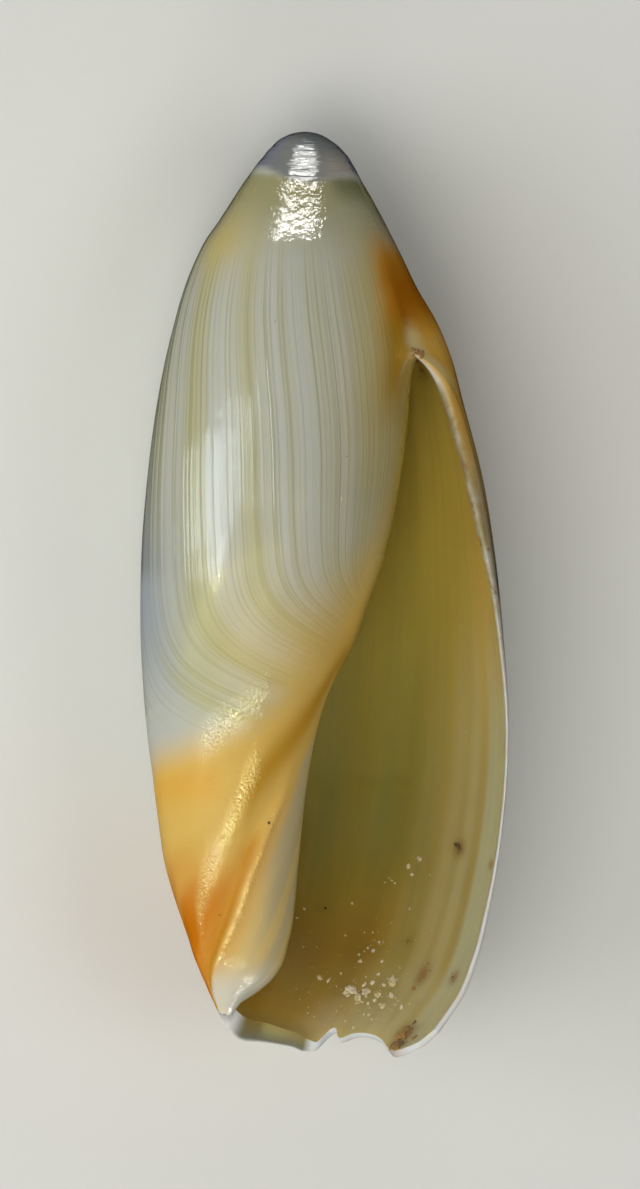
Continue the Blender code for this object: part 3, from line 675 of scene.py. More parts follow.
class Surface:
    """Points and faces. Each corner of a face keeps the turn and depth it has on its own sheet."""

    def __init__(self):
        self.points, self.faces, self.corners, self.kinds = [], [], [], []

    def add(self, points):
        points = np.asarray(points)
        first = len(self.points)
        self.points.extend(points.reshape(-1, 3).tolist())
        return first + np.arange(points[..., 0].size).reshape(points.shape[:-1])

    def sheet(self, grid, turn, depth, kind, outward=True, inward=0.0):
        """A grid of faces. Its first row may be drawn together in one point."""
        grids = [grid] + [np.broadcast_to(values, grid.shape) for values in (turn, depth, inward)]
        rings = [np.stack([g[:-1, :-1], g[1:, :-1], g[1:, 1:], g[:-1, 1:]], -1) for g in grids]
        rings = [ring.reshape(-1, 4) for ring in rings]
        for ring, at in zip(rings[0].tolist(), np.stack(rings[1:], -1).tolist()):
            self.face(ring, at, kind, outward)

    def face(self, ring, at, kind, outward=True):
        kept = [i for i in range(len(ring)) if ring[i] != ring[i - 1]]
        if len(kept) < 3:
            return
        if not outward:
            kept.reverse()
        self.faces.append([ring[i] for i in kept])
        self.corners.extend(at[i] for i in kept)
        self.kinds.append(kind)

    def bridge(self, first, second, first_at, second_at, kind):
        """Triangles between two rows that run side by side, stepping along whichever is behind."""
        a = b = 0
        last_a, last_b = len(first) - 1, len(second) - 1
        while a < last_a or b < last_b:
            first_behind = a < last_a and first_at[a + 1][0] <= second_at[min(b + 1, last_b)][0]
            ring, at = [first[a], second[b]], [first_at[a], second_at[b]]
            if b == last_b or first_behind:
                a += 1
                ring, at = ring + [first[a]], at + [first_at[a]]
            else:
                b += 1
                ring, at = ring + [second[b]], at + [second_at[b]]
            self.face(ring, at, kind)


def add_skin(made, rows):
    """The spire and the skin below it. Gives back the skin's point numbers, turns, depths and points."""
    spire_turn, spire_depth, spire = spire_points()
    turn, depth, points = skin_points(rows)
    apex = made.add([[0.0, 0.0, 0.0]])
    rings = made.add(spire[:, :-1])
    rings = np.vstack([np.repeat(apex, rings.shape[1] + 1)[None], np.hstack([rings, rings[:, :1]])])
    ring_depth = np.vstack([0 * spire_depth[:1], spire_depth])
    made.sheet(rings, np.vstack([spire_turn[:1], spire_turn]), ring_depth, SKIN)
    skin = np.vstack([rings[-1:], made.add(points)])
    turn = np.vstack([spire_turn[-1:], turn])
    depth = np.vstack([spire_depth[-1:], depth])
    made.sheet(skin, turn, depth, SKIN)
    return skin, turn, depth, points


def shell_surface():
    """The whole shell: spire, skin, the pocket's faces, the lip and the lower margin."""
    made = Surface()
    rows = body_rows()
    skin, turn, depth, points = add_skin(made, rows)

    wall_turn, wall_depth, wall_at, end_at, core_turn, core_depth, core_at = pocket_points(rows)
    roof = np.append(skin[0, 0], made.add(wall_at[0, 1:]))
    wall = np.vstack([roof[None], made.add(wall_at[1:])])
    core = np.vstack([roof[None], np.hstack([skin[1:, -1:], made.add(core_at[1:, 1:])])])
    end = np.vstack([np.repeat(roof[-1], END_STEPS - 1)[None], made.add(end_at[1:])])
    made.sheet(wall, wall_turn, wall_depth, WALL_FACE, outward=False)
    closed = np.hstack([wall[:, -1:], end, core[:, -1:]])
    made.sheet(closed, wall_turn[:, -1:], wall_depth[:, -1:], WALL_FACE, outward=False)
    made.sheet(core, core_turn, core_depth, SKIN)

    across = wall_at[1:, 0] - points[:, 0]
    forward = np.cross([0.0, 1.0, 0.0], across)
    forward /= np.maximum(np.linalg.norm(forward, axis=1, keepdims=True), 1e-6)
    crest = made.add(rounded_edge(points[:, 0], wall_at[1:, 0], forward))
    crest = np.vstack([np.repeat(skin[0, 0], EDGE_STEPS - 1)[None], crest])
    lip = np.hstack([skin[:, :1], crest, wall[:, :1]])[:, ::-1]
    made.sheet(lip, turn[:, :1], depth[:, :1], EDGE, inward=np.linspace(1, 0, lip.shape[1])[None])

    at = np.stack([wall_turn[-1], wall_depth[-1], 0 * wall_turn[-1]], -1)
    outer_depth = smooth(MARGIN, wall_turn[-1])
    outer = placed(wall_turn[-1], outer_depth, radius(wall_turn[-1], outer_depth, OPEN_TURNS))
    down = np.repeat([[0.0, -1.0, 0.0]], len(outer), 0)
    rim = made.add(rounded_edge(outer, wall_at[-1], down)[1:])
    rim = np.vstack([crest[-1:], rim])
    rim_grid = np.hstack([rim, wall[-1][:, None]]).T[::-1]
    made.sheet(rim_grid, at[:, 0], at[:, 1], EDGE, inward=np.linspace(1, 0, len(rim_grid))[:, None])
    seam = np.searchsorted(turn[-1], wall_turn[-1, -1])
    skin_at = np.stack([turn[-1], depth[-1], 0 * turn[-1]], -1).tolist()
    made.bridge(skin[-1, : seam + 1].tolist(), rim[:, 0].tolist(), skin_at, at.tolist(), EDGE)
    tip = [*skin[-1, seam:], *core[-1, 1:], *end[-1, ::-1], wall[-1, -1], *rim[-1, ::-1]]
    made.face([int(n) for n in tip], [[turn[-1, -1], TIP_DEPTH, 0.0]] * len(tip), EDGE, outward=False)
    return made


def rest_axes():
    """The roll and pitch at which the shell lies. The camera's right, up and backward lean as it does."""
    return Matrix.Rotation(np.radians(REST_PITCH), 3, "X") @ Matrix.Rotation(np.radians(REST_ROLL), 3, "Y")


def to_rest():
    """The turn from the shell's own axes to the pose in which it lies."""
    return np.array(rest_axes() @ Matrix.Rotation(np.radians(-AXIS_LEAN), 3, "Z"))


def laid_down(points, box):
    """The points in metres where the solid lies, on the same flat face, and the apex's place there."""
    points = points @ to_rest().T * MM
    low, high = points.min(axis=0), points.max(axis=0)
    middle = (np.array(box[0]) + np.array(box[1])) / 2
    shift = middle - (low + high) / 2
    shift[2] = box[1][2] - high[2]
    points = points + shift
    points[:, 2] = np.maximum(points[:, 2], box[0][2])
    return points, shift


def skin_masks(turn, depth):
    """Four coordinates, and how much of each colour and finish there is at each corner, from 0 to 1.

    The numbers are each mask's own depths in millimetres, turns in degrees and the widths they fade over.
    """
    line = growth_line(turn, depth)
    below = depth - smooth(GOLD_TOP, np.clip(turn, CORNER_TURN, PARIETAL_TURN))
    around = np.where(turn > 200, turn - 360, turn)
    on_lip = np.where(turn < 200, 1, 0)
    off_lip = 1 - on_lip
    past_lip = around - smooth(LIP_TURN, depth)
    offset = ridge_offset(turn, depth)
    pillar_depth = depth - smooth(PILLAR_TOP, np.clip(turn, 225, PARIETAL_TURN))
    streak_depth = depth - smooth(STREAK_DEPTH, np.clip(turn, 230, PARIETAL_TURN))
    cap_depth = 1.75 + 0.25 * np.sin(np.radians(turn * 3))
    from_amber = np.hypot(np.maximum(around - CORNER_TURN, 0) / 30, (depth - 6.2) / 4)
    amber = rise(around, -52, 24) * fall(around, 8, 26) * rise(depth, 3.4, 3.0) * fall(depth, 7.6, 1.8)
    diagonal = bump(depth - smooth(SHEEN_DEPTH, turn), 0.85) * rise(turn, 205, 12) * fall(turn, 262, 10)
    band = bump(depth - 25.6 + 0.058 * (turn - 245), 0.75) * rise(turn, 220, 12) * fall(turn, 266, 8)
    callus = on_lip * fall(past_lip, 2, 9) * fall(depth, 9.5, 1.6)
    callus = callus + off_lip * bump(around - CORNER_TURN, 3.5) * fall(depth, 9.0, 0.6)
    lip_gold = on_lip * rise(around, -28, 8) * fall(turn, 20, 30)
    fasciole_front = rise(depth, 28.4, 1.2) * fall(depth, 37.0, 0.6) * rise(turn, 200, 10)
    return {
        "growth": line,
        "turn": turn,
        "depth": depth,
        "below": below,
        "lined": lined(turn, depth),
        "olive": np.clip(smooth(OLIVE_BANDS, line), 0, 1) * rise(depth, 3, 4),
        "cap": fall(depth, cap_depth, 0.35),
        "cap_left": fall(turn, 212, 24),
        "cap_right": rise(turn, 278, 30),
        "cap_shade": rise(depth, 1.75, 0.3) * fall(depth, 2.2, 1.1) * rise(turn, 285, 25),
        "shoulder": rise(depth, 1.8, 0.4) * fall(depth, 2.6, 3.4),
        "under_cap": bump(depth - 5.0, 1.5) * bump(turn - 213, 26),
        "amber": amber * fall(from_amber, 0.6, 0.6),
        "amber_wash": off_lip * rise(around, -74, 34) * rise(depth, 3, 3) * fall(depth, 10, 9),
        "corner_gold": off_lip * bump(around + 34, 10) * rise(depth, 7.2, 1.2) * fall(depth, 10, 3),
        "lip_orange": on_lip * bump(turn - 6, 9) * rise(depth, 7.2, 1.6) * fall(depth, 12, 6),
        "lip_gold": lip_gold * rise(depth, 6.8, 2.2) * fall(depth, 12, 9),
        "callus": np.clip(callus * rise(depth, 7.7, 0.9), 0, 1),
        # Partly painted shade on the front's right side, partly the shell's own olive tint.
        "front_shade": rise(turn, 290, 40) * rise(depth, 9, 3) * fall(depth, 19, 3),
        # A painted bluish reflection low on the left side.
        "painted_blue_sheen": bump(depth - 21.0, 4.0) * bump(turn - 190, 26),
        "j_olive": bump(depth - 23, 3.0) * rise(turn, 206, 20) * fall(turn, 234, 16),
        "j_yellow": bump(depth - 22.5, 3.4) * rise(turn, 218, 40),
        "elbow": rise(depth, 18.9 - 3.5 * rise(turn, 240, 12), 1.4),
        "gold": rise(below, -0.9, 2.2),
        "gold_band": bump(depth - 28.7 + 0.01 * (turn - 200), 0.9) * fall(turn, 232, 16),
        "gold_right": rise(below, -6.0, 6.0) * rise(turn, 250, 50),
        "orange": rise(depth, 30.3, 4.4) * fall(offset, -0.9, 0.9) * rise(turn, 60, 60),
        "streak": bump(streak_depth, 0.95) * rise(turn, 252, 16),
        "groove": bump(offset + 0.42, 0.4) * fasciole_front * rise(depth, 29.6, 1.8),
        "ridge": bump(offset - 0.32, 0.4) * fasciole_front,
        "crest": bump(offset - 0.12, 0.14) * fasciole_front,
        "pillar": rise(pillar_depth, -0.2, 0.9) * rise(offset, 0.2, 0.8) * rise(turn, 226, 10),
        "tip": rise(depth, 35.4, 2.2) * rise(turn, 232 - 26 * rise(depth, 36.2, 1.4), 14),
        "pitted": rise(below, -2.6, 1.2),
        "sheen": np.clip(diagonal + band, 0, 1),
        "deep": rise(turn, PARIETAL_TURN, 22),
    }


def wall_masks(turn, depth):
    """The same for the wall's inner face and for the free edge."""
    line = turn + lean_of(WALL_LEAN, depth)
    margin = smooth(MARGIN, turn)
    bevel_top = margin - smooth(MARGIN_BEVEL, turn)
    broad = rise(turn, 44, 4) * fall(turn, 80, 10)
    near_lip = turn < 30
    stain = np.zeros(turn.shape)
    for at_turn, at_depth, turn_spread, depth_spread, *_ in DIRT_PATCHES:
        beside = bump(turn - at_turn, 1.3 * turn_spread + 0.8)
        stain += beside * bump(depth - at_depth, 1.3 * depth_spread + 0.12)
    return {
        "wall_line": line,
        "pale": np.clip(smooth(PALE_BANDS, line), 0, 1) * rise(depth, 17, 9),
        "green": np.clip(smooth(GREEN_BANDS, line), 0, 1) * fall(depth, 29, 5),
        # Painted glow: light through the thin wall, strongest near the top.
        "painted_glow": fall(depth, 14, 18),
        "lip_olive": bump(line - 13, 7) * fall(depth, 21, 6),
        "lip_pale": fall(line, 12.5, 3) * rise(depth, 20, 8),
        "base_brown": rise(depth, 31.5, 4) * rise(turn, 30, 14),
        "base_pale": rise(depth, 35, 2.5) * fall(turn, 44, 16),
        "stain": np.clip(stain, 0, 1),
        "broad": broad,
        "bevel": rise(depth, bevel_top - 0.6, 0.6) * broad,
        "white_corner": rise(turn, 87, 5) * rise(depth, margin - 0.35, 0.3),
        "lip_amber": near_lip * fall(depth, 12, 5),
        "lip_wear": near_lip * rise(depth, 10.2, 1) * fall(depth, 16, 9),
    }


class Look:
    """A material, and short calls that add its nodes. They take numbers, the names of masks and what
    other calls give back. The colour is built up by painting."""

    def __init__(self, name):
        self.material = bpy.data.materials.new(name)
        self.material.use_nodes = True
        self.tree = self.material.node_tree
        self.shader = self.tree.nodes["Principled BSDF"]
        self.masks = {}
        self.colour = None

    def put(self, socket, value):
        """Give an input a number, a colour, another node's output or a mask by its name."""
        if isinstance(value, str):
            value = self.mask(value)
        if isinstance(value, bpy.types.NodeSocket):
            self.tree.links.new(value, socket)
        elif socket.type == "RGBA":
            socket.default_value = (*value, 1)
        else:
            socket.default_value = value

    def finish(self, **values):
        for name, value in values.items():
            self.put(self.shader.inputs[name.replace("_", " ").title().replace("Ior", "IOR")], value)

    def mask(self, name):
        """The value that the mesh carries under this name."""
        if name not in self.masks:
            node = self.tree.nodes.new("ShaderNodeAttribute")
            node.attribute_name = name
            self.masks[name] = node.outputs["Fac"]
        return self.masks[name]

    def math(self, operation, *values):
        node = self.tree.nodes.new("ShaderNodeMath")
        node.operation = operation
        for socket, value in zip(node.inputs, values):
            self.put(socket, value)
        return node.outputs[0]

    def times(self, *values):
        made = values[0]
        for value in values[1:]:
            made = self.math("MULTIPLY", made, value)
        return made

    def plus(self, *values):
        made = values[0]
        for value in values[1:]:
            made = self.math("ADD", made, value)
        return made

    def spread(self, value, low, high, new_low=0.0, new_high=1.0):
        """The value stretched from low..high to new_low..new_high, and held there."""
        node = self.tree.nodes.new("ShaderNodeMapRange")
        for socket, number in zip(node.inputs, (value, low, high, new_low, new_high)):
            self.put(socket, number)
        return node.outputs[0]

    def uneven(self, mask, unevenness, amount):
        """The mask, weaker where the noise is low and never more than it was."""
        return self.times(mask, self.spread(unevenness, 0.3, 0.6, 1.0 - amount, 1.0))

    def mix(self, share, first, second, way="MIX"):
        node = self.tree.nodes.new("ShaderNodeMix")
        node.data_type = "RGBA"
        node.blend_type = way
        self.put(node.inputs[0], share)
        self.put(node.inputs[6], first)
        self.put(node.inputs[7], second)
        return node.outputs[2]

    def paint(self, share, colour):
        """Lay a colour over what is painted so far."""
        self.colour = self.mix(share, self.colour, colour)

    def layers(self, table):
        """Paint a table of masks, strengths and colours."""
        for name, strength, colour in table:
            self.paint(self.times(name, strength), colour)

    def streaks(self, across, along, scales, detail=2.0):
        """Noise over two coordinates, each times its scale, from 0 to 1."""
        join = self.tree.nodes.new("ShaderNodeCombineXYZ")
        for socket, value, scale in zip(join.inputs, (across, along), scales):
            self.put(socket, self.times(value, scale))
        node = self.tree.nodes.new("ShaderNodeTexNoise")
        node.noise_dimensions = "2D"
        self.put(node.inputs["Vector"], join.outputs[0])
        node.inputs["Scale"].default_value = 1.0
        node.inputs["Detail"].default_value = detail
        return node.outputs[0]

    def lines(self, at, table):
        """Thin lines across a coordinate, from a table of places, half widths and strengths."""
        made = 0.0
        for place, width, strength in table:
            away = self.math("ABSOLUTE", self.math("SUBTRACT", at, place))
            made = self.plus(made, self.spread(away, 0.0, 1.5 * width, strength, 0.0))
        return made

    def grain(self, per_mm, detail=2.0, stretch=(1, 1, 1)):
        """Noise in space, from 0 to 1."""
        place = self.tree.nodes.new("ShaderNodeTexCoord")
        scale = self.tree.nodes.new("ShaderNodeMapping")
        self.put(scale.inputs["Vector"], place.outputs["Object"])
        scale.inputs["Scale"].default_value = [1000 * per_mm * s for s in stretch]
        node = self.tree.nodes.new("ShaderNodeTexNoise")
        self.put(node.inputs["Vector"], scale.outputs[0])
        node.inputs["Scale"].default_value = 1.0
        node.inputs["Detail"].default_value = detail
        return node.outputs[0]

    def bumps(self, height_mm, glaze_mm=None):
        """Small relief in millimetres, for the surface and for the clear glaze over it."""
        for name, height in (("Normal", height_mm), ("Coat Normal", glaze_mm or height_mm)):
            node = self.tree.nodes.new("ShaderNodeBump")
            node.inputs["Distance"].default_value = MM
            self.put(node.inputs["Height"], height)
            self.put(self.shader.inputs[name], node.outputs[0])


def paint_body(look, wide, middle, fine, dark_lines):
    """Pearly and olive growth bands, with cream and dark streaks and thin dark lines over them."""
    waver = look.plus(look.spread(wide, 0.35, 0.65, -0.1, 0.1), look.spread(middle, 0.3, 0.7, -0.22, 0.22))
    olive = look.plus("olive", look.times(waver, "lined"))
    look.colour = look.mix(look.spread(olive, 0.0, 1.0), PEARL, OLIVE)
    calm = look.spread("growth", 262, 285, 1.0, 0.5)
    grouped = look.times(look.spread(wide, 0.35, 0.6, 0.3, 1.0), "lined", calm)
    look.paint(look.times(look.spread(fine, 0.42, 0.68), grouped, 0.35), CREAM)
    look.paint(look.times(look.spread(middle, 0.5, 0.72), grouped, 0.35), SHADE)
    look.paint(look.times(dark_lines, 0.5), SHADE)
    look.layers(BODY_LAYERS)


def cap_colour(look, clouds):
    """The smooth cap: a mottled grey, warmer on the right and bluer on the left."""
    colour = look.mix(look.spread(clouds, 0.4, 0.7), CAP_GREY, CAP_PALE)
    colour = look.mix(look.times("cap_right", look.spread("depth", 0.6, 1.4)), colour, CAP_RIGHT)
    return look.mix(look.times("cap_left", 0.8), colour, CAP_LEFT)


def paint_skin(look, wide, middle, fine, dark_lines):
    """The body, and over it the shoulder, the fasciole, the columella, the mouth's corner and the cap."""
    slope = look.plus(look.times("below", 0.42), look.times("turn", 0.009))
    bands = look.streaks(slope, "turn", (1.0, 0.012), 1.0)
    clouds = look.grain(0.25, 3.0)
    paint_body(look, wide, middle, fine, dark_lines)
    shoulder = look.mix("cap_right", SHOULDER, SHOULDER_RIGHT)
    look.paint(look.times("shoulder", 0.85), shoulder)
    look.layers(UPPER_LAYERS)
    gold = look.mix(look.spread(bands, 0.35, 0.68), GOLD, GOLD_DARK)
    gold = look.mix(look.times("gold_band", 0.8), gold, GOLD_BAND)
    look.paint("gold", gold)
    orange = look.times(look.uneven("orange", bands, 0.35), look.spread("sheen", 0, 1, 1, 0.45))
    look.paint(orange, ORANGE)
    look.layers(FASCIOLE_LAYERS)
    pillar = look.mix(look.spread(bands, 0.4, 0.62), PILLAR_GREY, PILLAR_CREAM)
    look.paint("pillar", pillar)
    look.layers(COLUMELLA_LAYERS)
    amber = look.uneven("amber", clouds, 0.4)
    look.paint(look.spread(amber, 0.0, 0.5), AMBER_EDGE)
    look.paint(look.spread(amber, 0.3, 0.9), AMBER)
    look.paint(look.uneven("lip_gold", clouds, 0.35), LIP_GOLD)
    look.layers(CORNER_LAYERS)
    look.paint("cap", cap_colour(look, clouds))
    look.paint("deep", INNER_OLIVE)


def skin_bumps(look, middle, fine, dark_lines):
    """Ribs and lines on the body, pits on the fasciole, dimples on the shoulder and cap, and slow waves."""
    ribs = look.plus(look.times(middle, "lined", RIBS), look.times(fine, "lined", FINE_RIBS))
    ribs = look.plus(ribs, look.times(dark_lines, LINE_GROOVES))
    glaze_ribs = look.times(middle, "lined", GLAZE_RIBS)
    glaze_ribs = look.plus(glaze_ribs, look.times(dark_lines, GLAZE_LINE_GROOVES))
    pitted = look.plus("pitted", look.times("shoulder", 0.35), look.times("tip", -0.35))
    pits = look.times(look.grain(7.5, 1.0), look.spread(pitted, 0, 1, FAINT_PITS, PITS))
    cap_dimples = look.times("cap", look.grain(2.4, 1.0, (0.25, 2.6, 0.6)), CAP_DIMPLES)
    dimples = look.plus(look.times("shoulder", look.grain(3.0), DIMPLES), cap_dimples)
    waves = look.times(look.grain(1.4), WAVES)
    glossiest = look.spread(look.plus("sheen", "crest"), 0, 1, 0.15, 1.0)
    look.bumps(
        look.plus(ribs, waves, look.times(pits, glossiest), look.times(dimples, 0.4)),
        look.plus(glaze_ribs, waves, pits, dimples),
    )


def skin_look():
    """The glazed skin. The fasciole and a belt above it are dull, but for the sheen, crest and tip."""
    look = Look("shell_skin")
    wide, middle, fine = [look.streaks("growth", "depth", scales) for scales in SKIN_STREAKS]
    dark_lines = look.times(look.lines("growth", DARK_LINES), "lined")
    skin_bumps(look, middle, fine, dark_lines)
    ribbed = look.spread(look.times(fine, "lined"), 0.3, 0.8, 0.16, 0.26)
    dull = look.plus("pitted", "elbow")
    streaky = look.spread("lined", 0, 1, 1.0, look.spread(middle, 0.38, 0.6, 0.35, 1.0))
    coat = look.times(look.spread(dull, 0, 1, 0.95, 0.02), streaky)
    coat = look.plus(coat, look.times("sheen", 0.9), look.times("crest", 0.7), "tip")
    paint_skin(look, wide, middle, fine, dark_lines)
    look.finish(
        base_color=look.colour,
        roughness=look.plus(ribbed, look.times("pitted", 0.15)),
        specular_ior_level=look.spread(dull, 0, 1, 0.2, 0.03),
        coat_weight=look.spread(coat, 0, 1),
        coat_roughness=0.04,
        subsurface_weight=0.25,
        subsurface_scale=0.6 * MM,
        subsurface_radius=(1.0, 0.75, 0.35),
    )
    return look.material


def wall_look():
    """The wall's inner face: a golden glow painted at the top for light through the thin wall, green and
    pale bands, and brown at the base.
    """
    look = Look("shell_inside")
    wide, fine = [look.streaks("wall_line", "depth", scales) for scales in WALL_STREAKS]
    clouds = look.grain(0.5, 3.0)
    # Painted glow near the top, standing in for light through the thin wall.
    painted_glow = look.times("painted_glow", look.spread(wide, 0.3, 0.7, 0.75, 0.95))
    brown = look.times("base_brown", look.spread(clouds, 0.3, 0.7, 0.4, 0.85))
    pale = look.times("base_pale", look.spread(clouds, 0.35, 0.65, 0.1, 0.5))
    stain = look.times("stain", look.spread(clouds, 0.25, 0.55, 0.1, 0.85))
    look.colour = look.mix(look.spread(wide, 0.35, 0.65), INNER_TAN, INNER_OLIVE)
    look.paint(look.uneven("green", wide, 0.4), INNER_GREEN)
    look.paint(painted_glow, PAINTED_INNER_GLOW)
    look.paint(look.times("lip_olive", 0.6), INNER_LIP)
    look.paint(brown, INNER_BROWN)
    look.layers(WALL_PALE_LAYERS)
    look.paint(pale, INNER_PALE)
    look.paint(look.times(look.spread(fine, 0.45, 0.75), 0.12), INNER_STREAK)
    look.layers(WALL_EDGE_LAYERS)
    look.paint(stain, INNER_STAIN)
    look.bumps(look.plus(look.times(fine, INNER_RELIEF), look.times(look.grain(2.0, 3.0), INNER_RELIEF)))
    look.finish(
        base_color=look.colour,
        roughness=look.spread(clouds, 0.3, 0.7, 0.34, 0.46),
        coat_weight=0.2,
        coat_roughness=0.2,
        subsurface_weight=0.6,
        subsurface_scale=1.2 * MM,
        subsurface_radius=(1.0, 0.7, 0.2),
    )
    return look.material


def edge_look():
    """The lip and the lower margin: white at the outer side, greenish on the broad bevel inside it."""
    look = Look("shell_edge")
    clouds = look.grain(1.2, 3.0)
    look.colour = look.mix(look.spread(clouds, 0.35, 0.7), WHITE, WHITE_DULL)
    bevel = look.mix(look.spread("inward", 0.4, 0.95), BEVEL_GREEN, BEVEL_INNER)
    look.paint(look.times("broad", look.spread("inward", 0.05, 0.35)), bevel)
    look.paint(look.times("lip_wear", look.spread(clouds, 0.3, 0.6, 0.55, 0.95)), LIP_WORN)
    pits = look.times("lip_wear", look.spread(look.grain(2.2), 0.60, 0.66), 0.95)
    look.paint(pits, LIP_PITS)
    outer = look.spread("inward", 0.1, 0.6, 1.0, 0.12)
    look.paint(look.times("lip_amber", outer), LIP_AMBER)
    look.paint(look.times("stain", look.spread(clouds, 0.2, 0.4)), EDGE_STAIN)
    grain = look.times(look.grain(5.0, 3.0), EDGE_GRAIN)
    look.bumps(look.plus(grain, look.times(look.grain(1.0), EDGE_WAVES)))
    look.finish(
        base_color=look.colour,
        roughness=look.spread(clouds, 0.3, 0.7, 0.3, 0.5),
        specular_ior_level=0.1,
        coat_weight=0.03,
        coat_roughness=0.15,
        subsurface_weight=0.3,
        subsurface_scale=0.6 * MM,
    )
    return look.material


def mottled_look(name, colours, bounds, per_mm, grain_per_mm, grain_mm, roughness):
    """A colour mottled with a second one, and a fine grain."""
    look = Look(name)
    mottle = look.spread(look.grain(per_mm, 3.0), *bounds)
    look.bumps(look.times(look.grain(grain_per_mm, 3.0), grain_mm))
    look.finish(base_color=look.mix(mottle, *colours), roughness=roughness)
    return look.material


def crumb_look(name, colours, roughness):
    return mottled_look(name, colours, (0.38, 0.6), 1.1, 16.0, CRUMB_GRAIN, roughness)


def put_values(mesh, values):
    for name, numbers in values.items():
        layer = mesh.attributes.new(name, "FLOAT", "CORNER")
        layer.data.foreach_set("value", np.asarray(numbers, np.float32))


def in_scene(name, data):
    """A new object in the scene."""
    made = bpy.data.objects.new(name, data)
    bpy.context.scene.collection.objects.link(made)
    return made


def new_object(name, points, faces, materials):
    mesh = bpy.data.meshes.new(name)
    mesh.from_pydata(points, [], faces)
    for material in materials:
        mesh.materials.append(material)
    mesh.shade_smooth()
    return in_scene(name, mesh)


def make_shell(box):
    surface = shell_surface()
    points, shift = laid_down(np.array(surface.points), box)
    turn, depth, inward = np.array(surface.corners).T
    looks = [skin_look(), wall_look(), edge_look()]
    shell = new_object("ancilla_shell", points.tolist(), surface.faces, looks)
    shell.data.polygons.foreach_set("material_index", surface.kinds)
    put_values(shell.data, {**skin_masks(turn, depth), **wall_masks(turn, depth), "inward": inward})
    shell.data.set_sharp_from_angle(angle=np.radians(SHARP_ANGLE))
    return shell, shift


def crumb(bm, place, normal, size, rng):
    """One small irregular crumb, sunk a little into the surface it sits on."""
    made = bmesh.ops.create_icosphere(bm, subdivisions=2 if size > FINE_CRUMB else 1, radius=0.5)["verts"]
    stretch = rng.uniform(*CRUMB_WIDTHS, 3)
    offset = Vector(rng.uniform(-50, 50, 3))
    spin = Vector(normal).to_track_quat("Z", "Y").to_matrix() @ Matrix.Rotation(rng.uniform(0, 6.28), 3, "Z")
    stretch[2] *= CRUMB_FLATNESS
    lift = Vector(normal) * size * stretch[2] * CRUMB_LIFT * MM
    for vert in made:
        rough = 1 + CRUMB_ROUGHNESS * noise.noise(vert.co * CRUMB_NOISE + offset)
        shape = Vector(np.array(vert.co) * stretch * rough * size * MM)
        vert.co = spin @ shape + Vector(place) + lift


def outer_face(turn, depth):
    return placed(turn, depth, skin_radius(turn, depth))


def scatter(name, patches, face, tree, shift, look, seed):
    """Crumbs strewn in patches over one face of the shell."""
    rng = np.random.default_rng(seed)
    bm = bmesh.new()
    for turn, depth, turn_spread, depth_spread, count, smallest, largest in patches:
        for _ in range(count):
            at = np.array([turn + rng.normal() * turn_spread, depth + rng.normal() * depth_spread])
            size = smallest + (largest - smallest) * rng.random() ** 2
            if at[1] > smooth(MARGIN, at[0]) - CRUMB_MARGIN:
                continue
            point = face(np.array([at[0]]), np.array([at[1]]))[0] @ to_rest().T * MM + shift
            place, normal, _, _ = tree.find_nearest(Vector(point))
            crumb(bm, place, normal, size, rng)
    mesh = bpy.data.meshes.new(name)
    bm.to_mesh(mesh)
    bm.free()
    mesh.materials.append(look)
    return in_scene(name, mesh)


def add_camera(apex):
    axes = rest_axes()
    aim = Vector(apex) + axes @ Vector((VIEW_ACROSS, -VIEW_DOWN, 0)) * MM
    data = bpy.data.cameras.new("camera")
    data.sensor_width = SENSOR
    data.lens = SENSOR * CAMERA_AWAY / VIEW_HEIGHT
    data.clip_start = 0.05
    camera = in_scene("camera", data)
    camera.matrix_world = Matrix.Translation(aim + axes.col[2] * CAMERA_AWAY * MM) @ axes.to_4x4()
    bpy.context.scene.camera = camera
    return aim


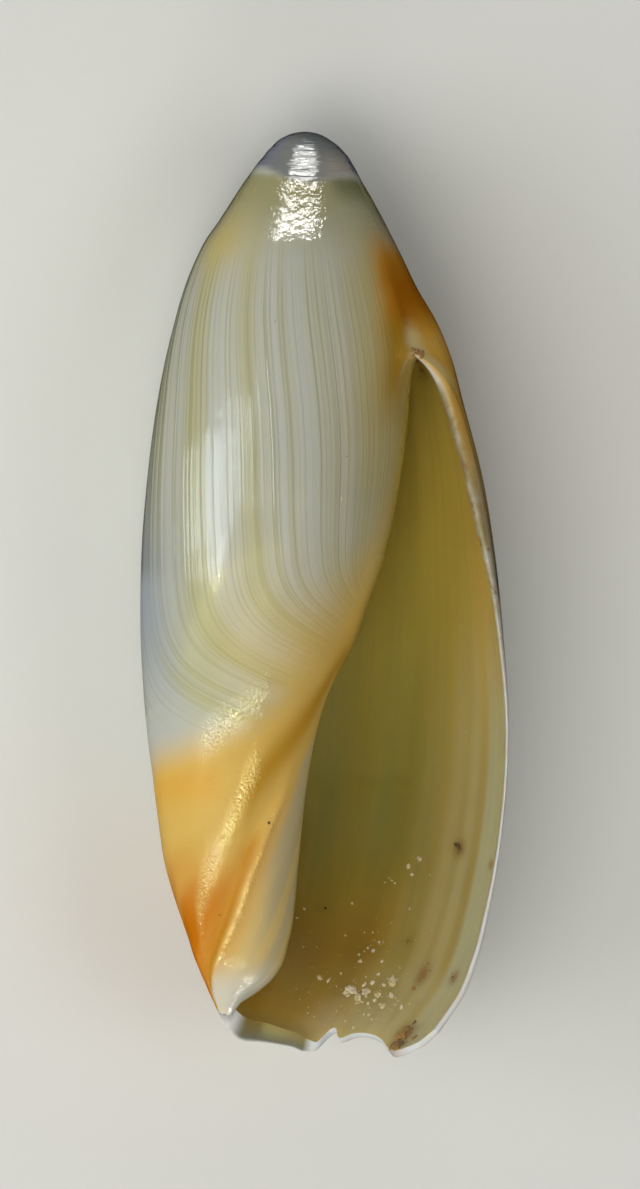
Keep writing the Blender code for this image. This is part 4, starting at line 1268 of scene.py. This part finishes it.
def add_lights(aim):
    axes = rest_axes()
    for name, (side, up, away, width, height, power, colour) in LIGHTS.items():
        use = name.split("_")[0]
        side, up = np.radians(side), np.radians(up)
        towards = axes @ Vector((np.sin(side) * np.cos(up), np.sin(up), np.cos(side) * np.cos(up)))
        data = bpy.data.lights.new(name, "AREA")
        data.shape = "ELLIPSE" if use == "sparkle" else "RECTANGLE"
        data.size, data.size_y = width * MM, height * MM
        data.energy = power
        data.color = colour
        light = in_scene(name, data)
        light.location = aim + towards * away * MM
        across = axes.col[1].cross(towards).normalized()
        light.rotation_mode = "QUATERNION"
        facing = Matrix((across, towards.cross(across), towards)).transposed()
        light.rotation_quaternion = facing.to_quaternion()
        light.visible_camera = False
        light.visible_glossy = use != "fill"
        light.visible_diffuse = use == "fill"


def add_world():
    world = bpy.data.worlds.new("studio")
    world.use_nodes = True
    background = world.node_tree.nodes["Background"]
    background.inputs["Color"].default_value = WORLD_COLOUR
    background.inputs["Strength"].default_value = WORLD_STRENGTH
    world.cycles_visibility.glossy = False
    bpy.context.scene.world = world


def add_floor(level):
    corners = [(-1, -1), (1, -1), (1, 1), (-1, 1)]
    points = [(FLOOR_HALF * x, FLOOR_HALF * y, level) for x, y in corners]
    paper = mottled_look("floor_paper", FLOOR, (0.3, 0.7), 0.02, 2.0, FLOOR_GRAIN, 0.75)
    floor = new_object("floor", points, [(0, 1, 2, 3)], [paper])
    floor.visible_glossy = False


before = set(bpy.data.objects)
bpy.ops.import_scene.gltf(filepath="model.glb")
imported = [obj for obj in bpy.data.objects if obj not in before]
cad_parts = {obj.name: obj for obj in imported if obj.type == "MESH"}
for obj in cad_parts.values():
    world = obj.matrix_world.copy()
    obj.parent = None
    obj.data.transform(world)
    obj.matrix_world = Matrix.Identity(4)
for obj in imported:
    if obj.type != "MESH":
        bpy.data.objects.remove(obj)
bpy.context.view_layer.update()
shell, apex = make_shell(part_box("shell"))
tree = BVHTree.FromObject(shell, bpy.context.evaluated_depsgraph_get())
dirt_look = crumb_look("dirt", DIRT, 0.8)
sand = scatter("sand_grains", SAND_PATCHES, inner_face, tree, apex, crumb_look("sand", SAND, 0.6), 11)
dirt = scatter("dirt_specks", DIRT_PATCHES, inner_face, tree, apex, dirt_look, 12)
specks = scatter("skin_specks", SKIN_PATCHES, outer_face, tree, apex, dirt_look, 13)
crust = scatter("corner_crust", CRUST_PATCHES, outer_face, tree, apex, crumb_look("crust", CRUST, 0.7), 14)
for piece in (shell, sand, dirt, specks, crust):
    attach(piece, "root")
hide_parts("shell")

bpy.context.scene.view_settings.view_transform = "Standard"
aim = add_camera(apex)
add_lights(aim)
add_world()
add_floor(min(v.co.z for v in shell.data.vertices))
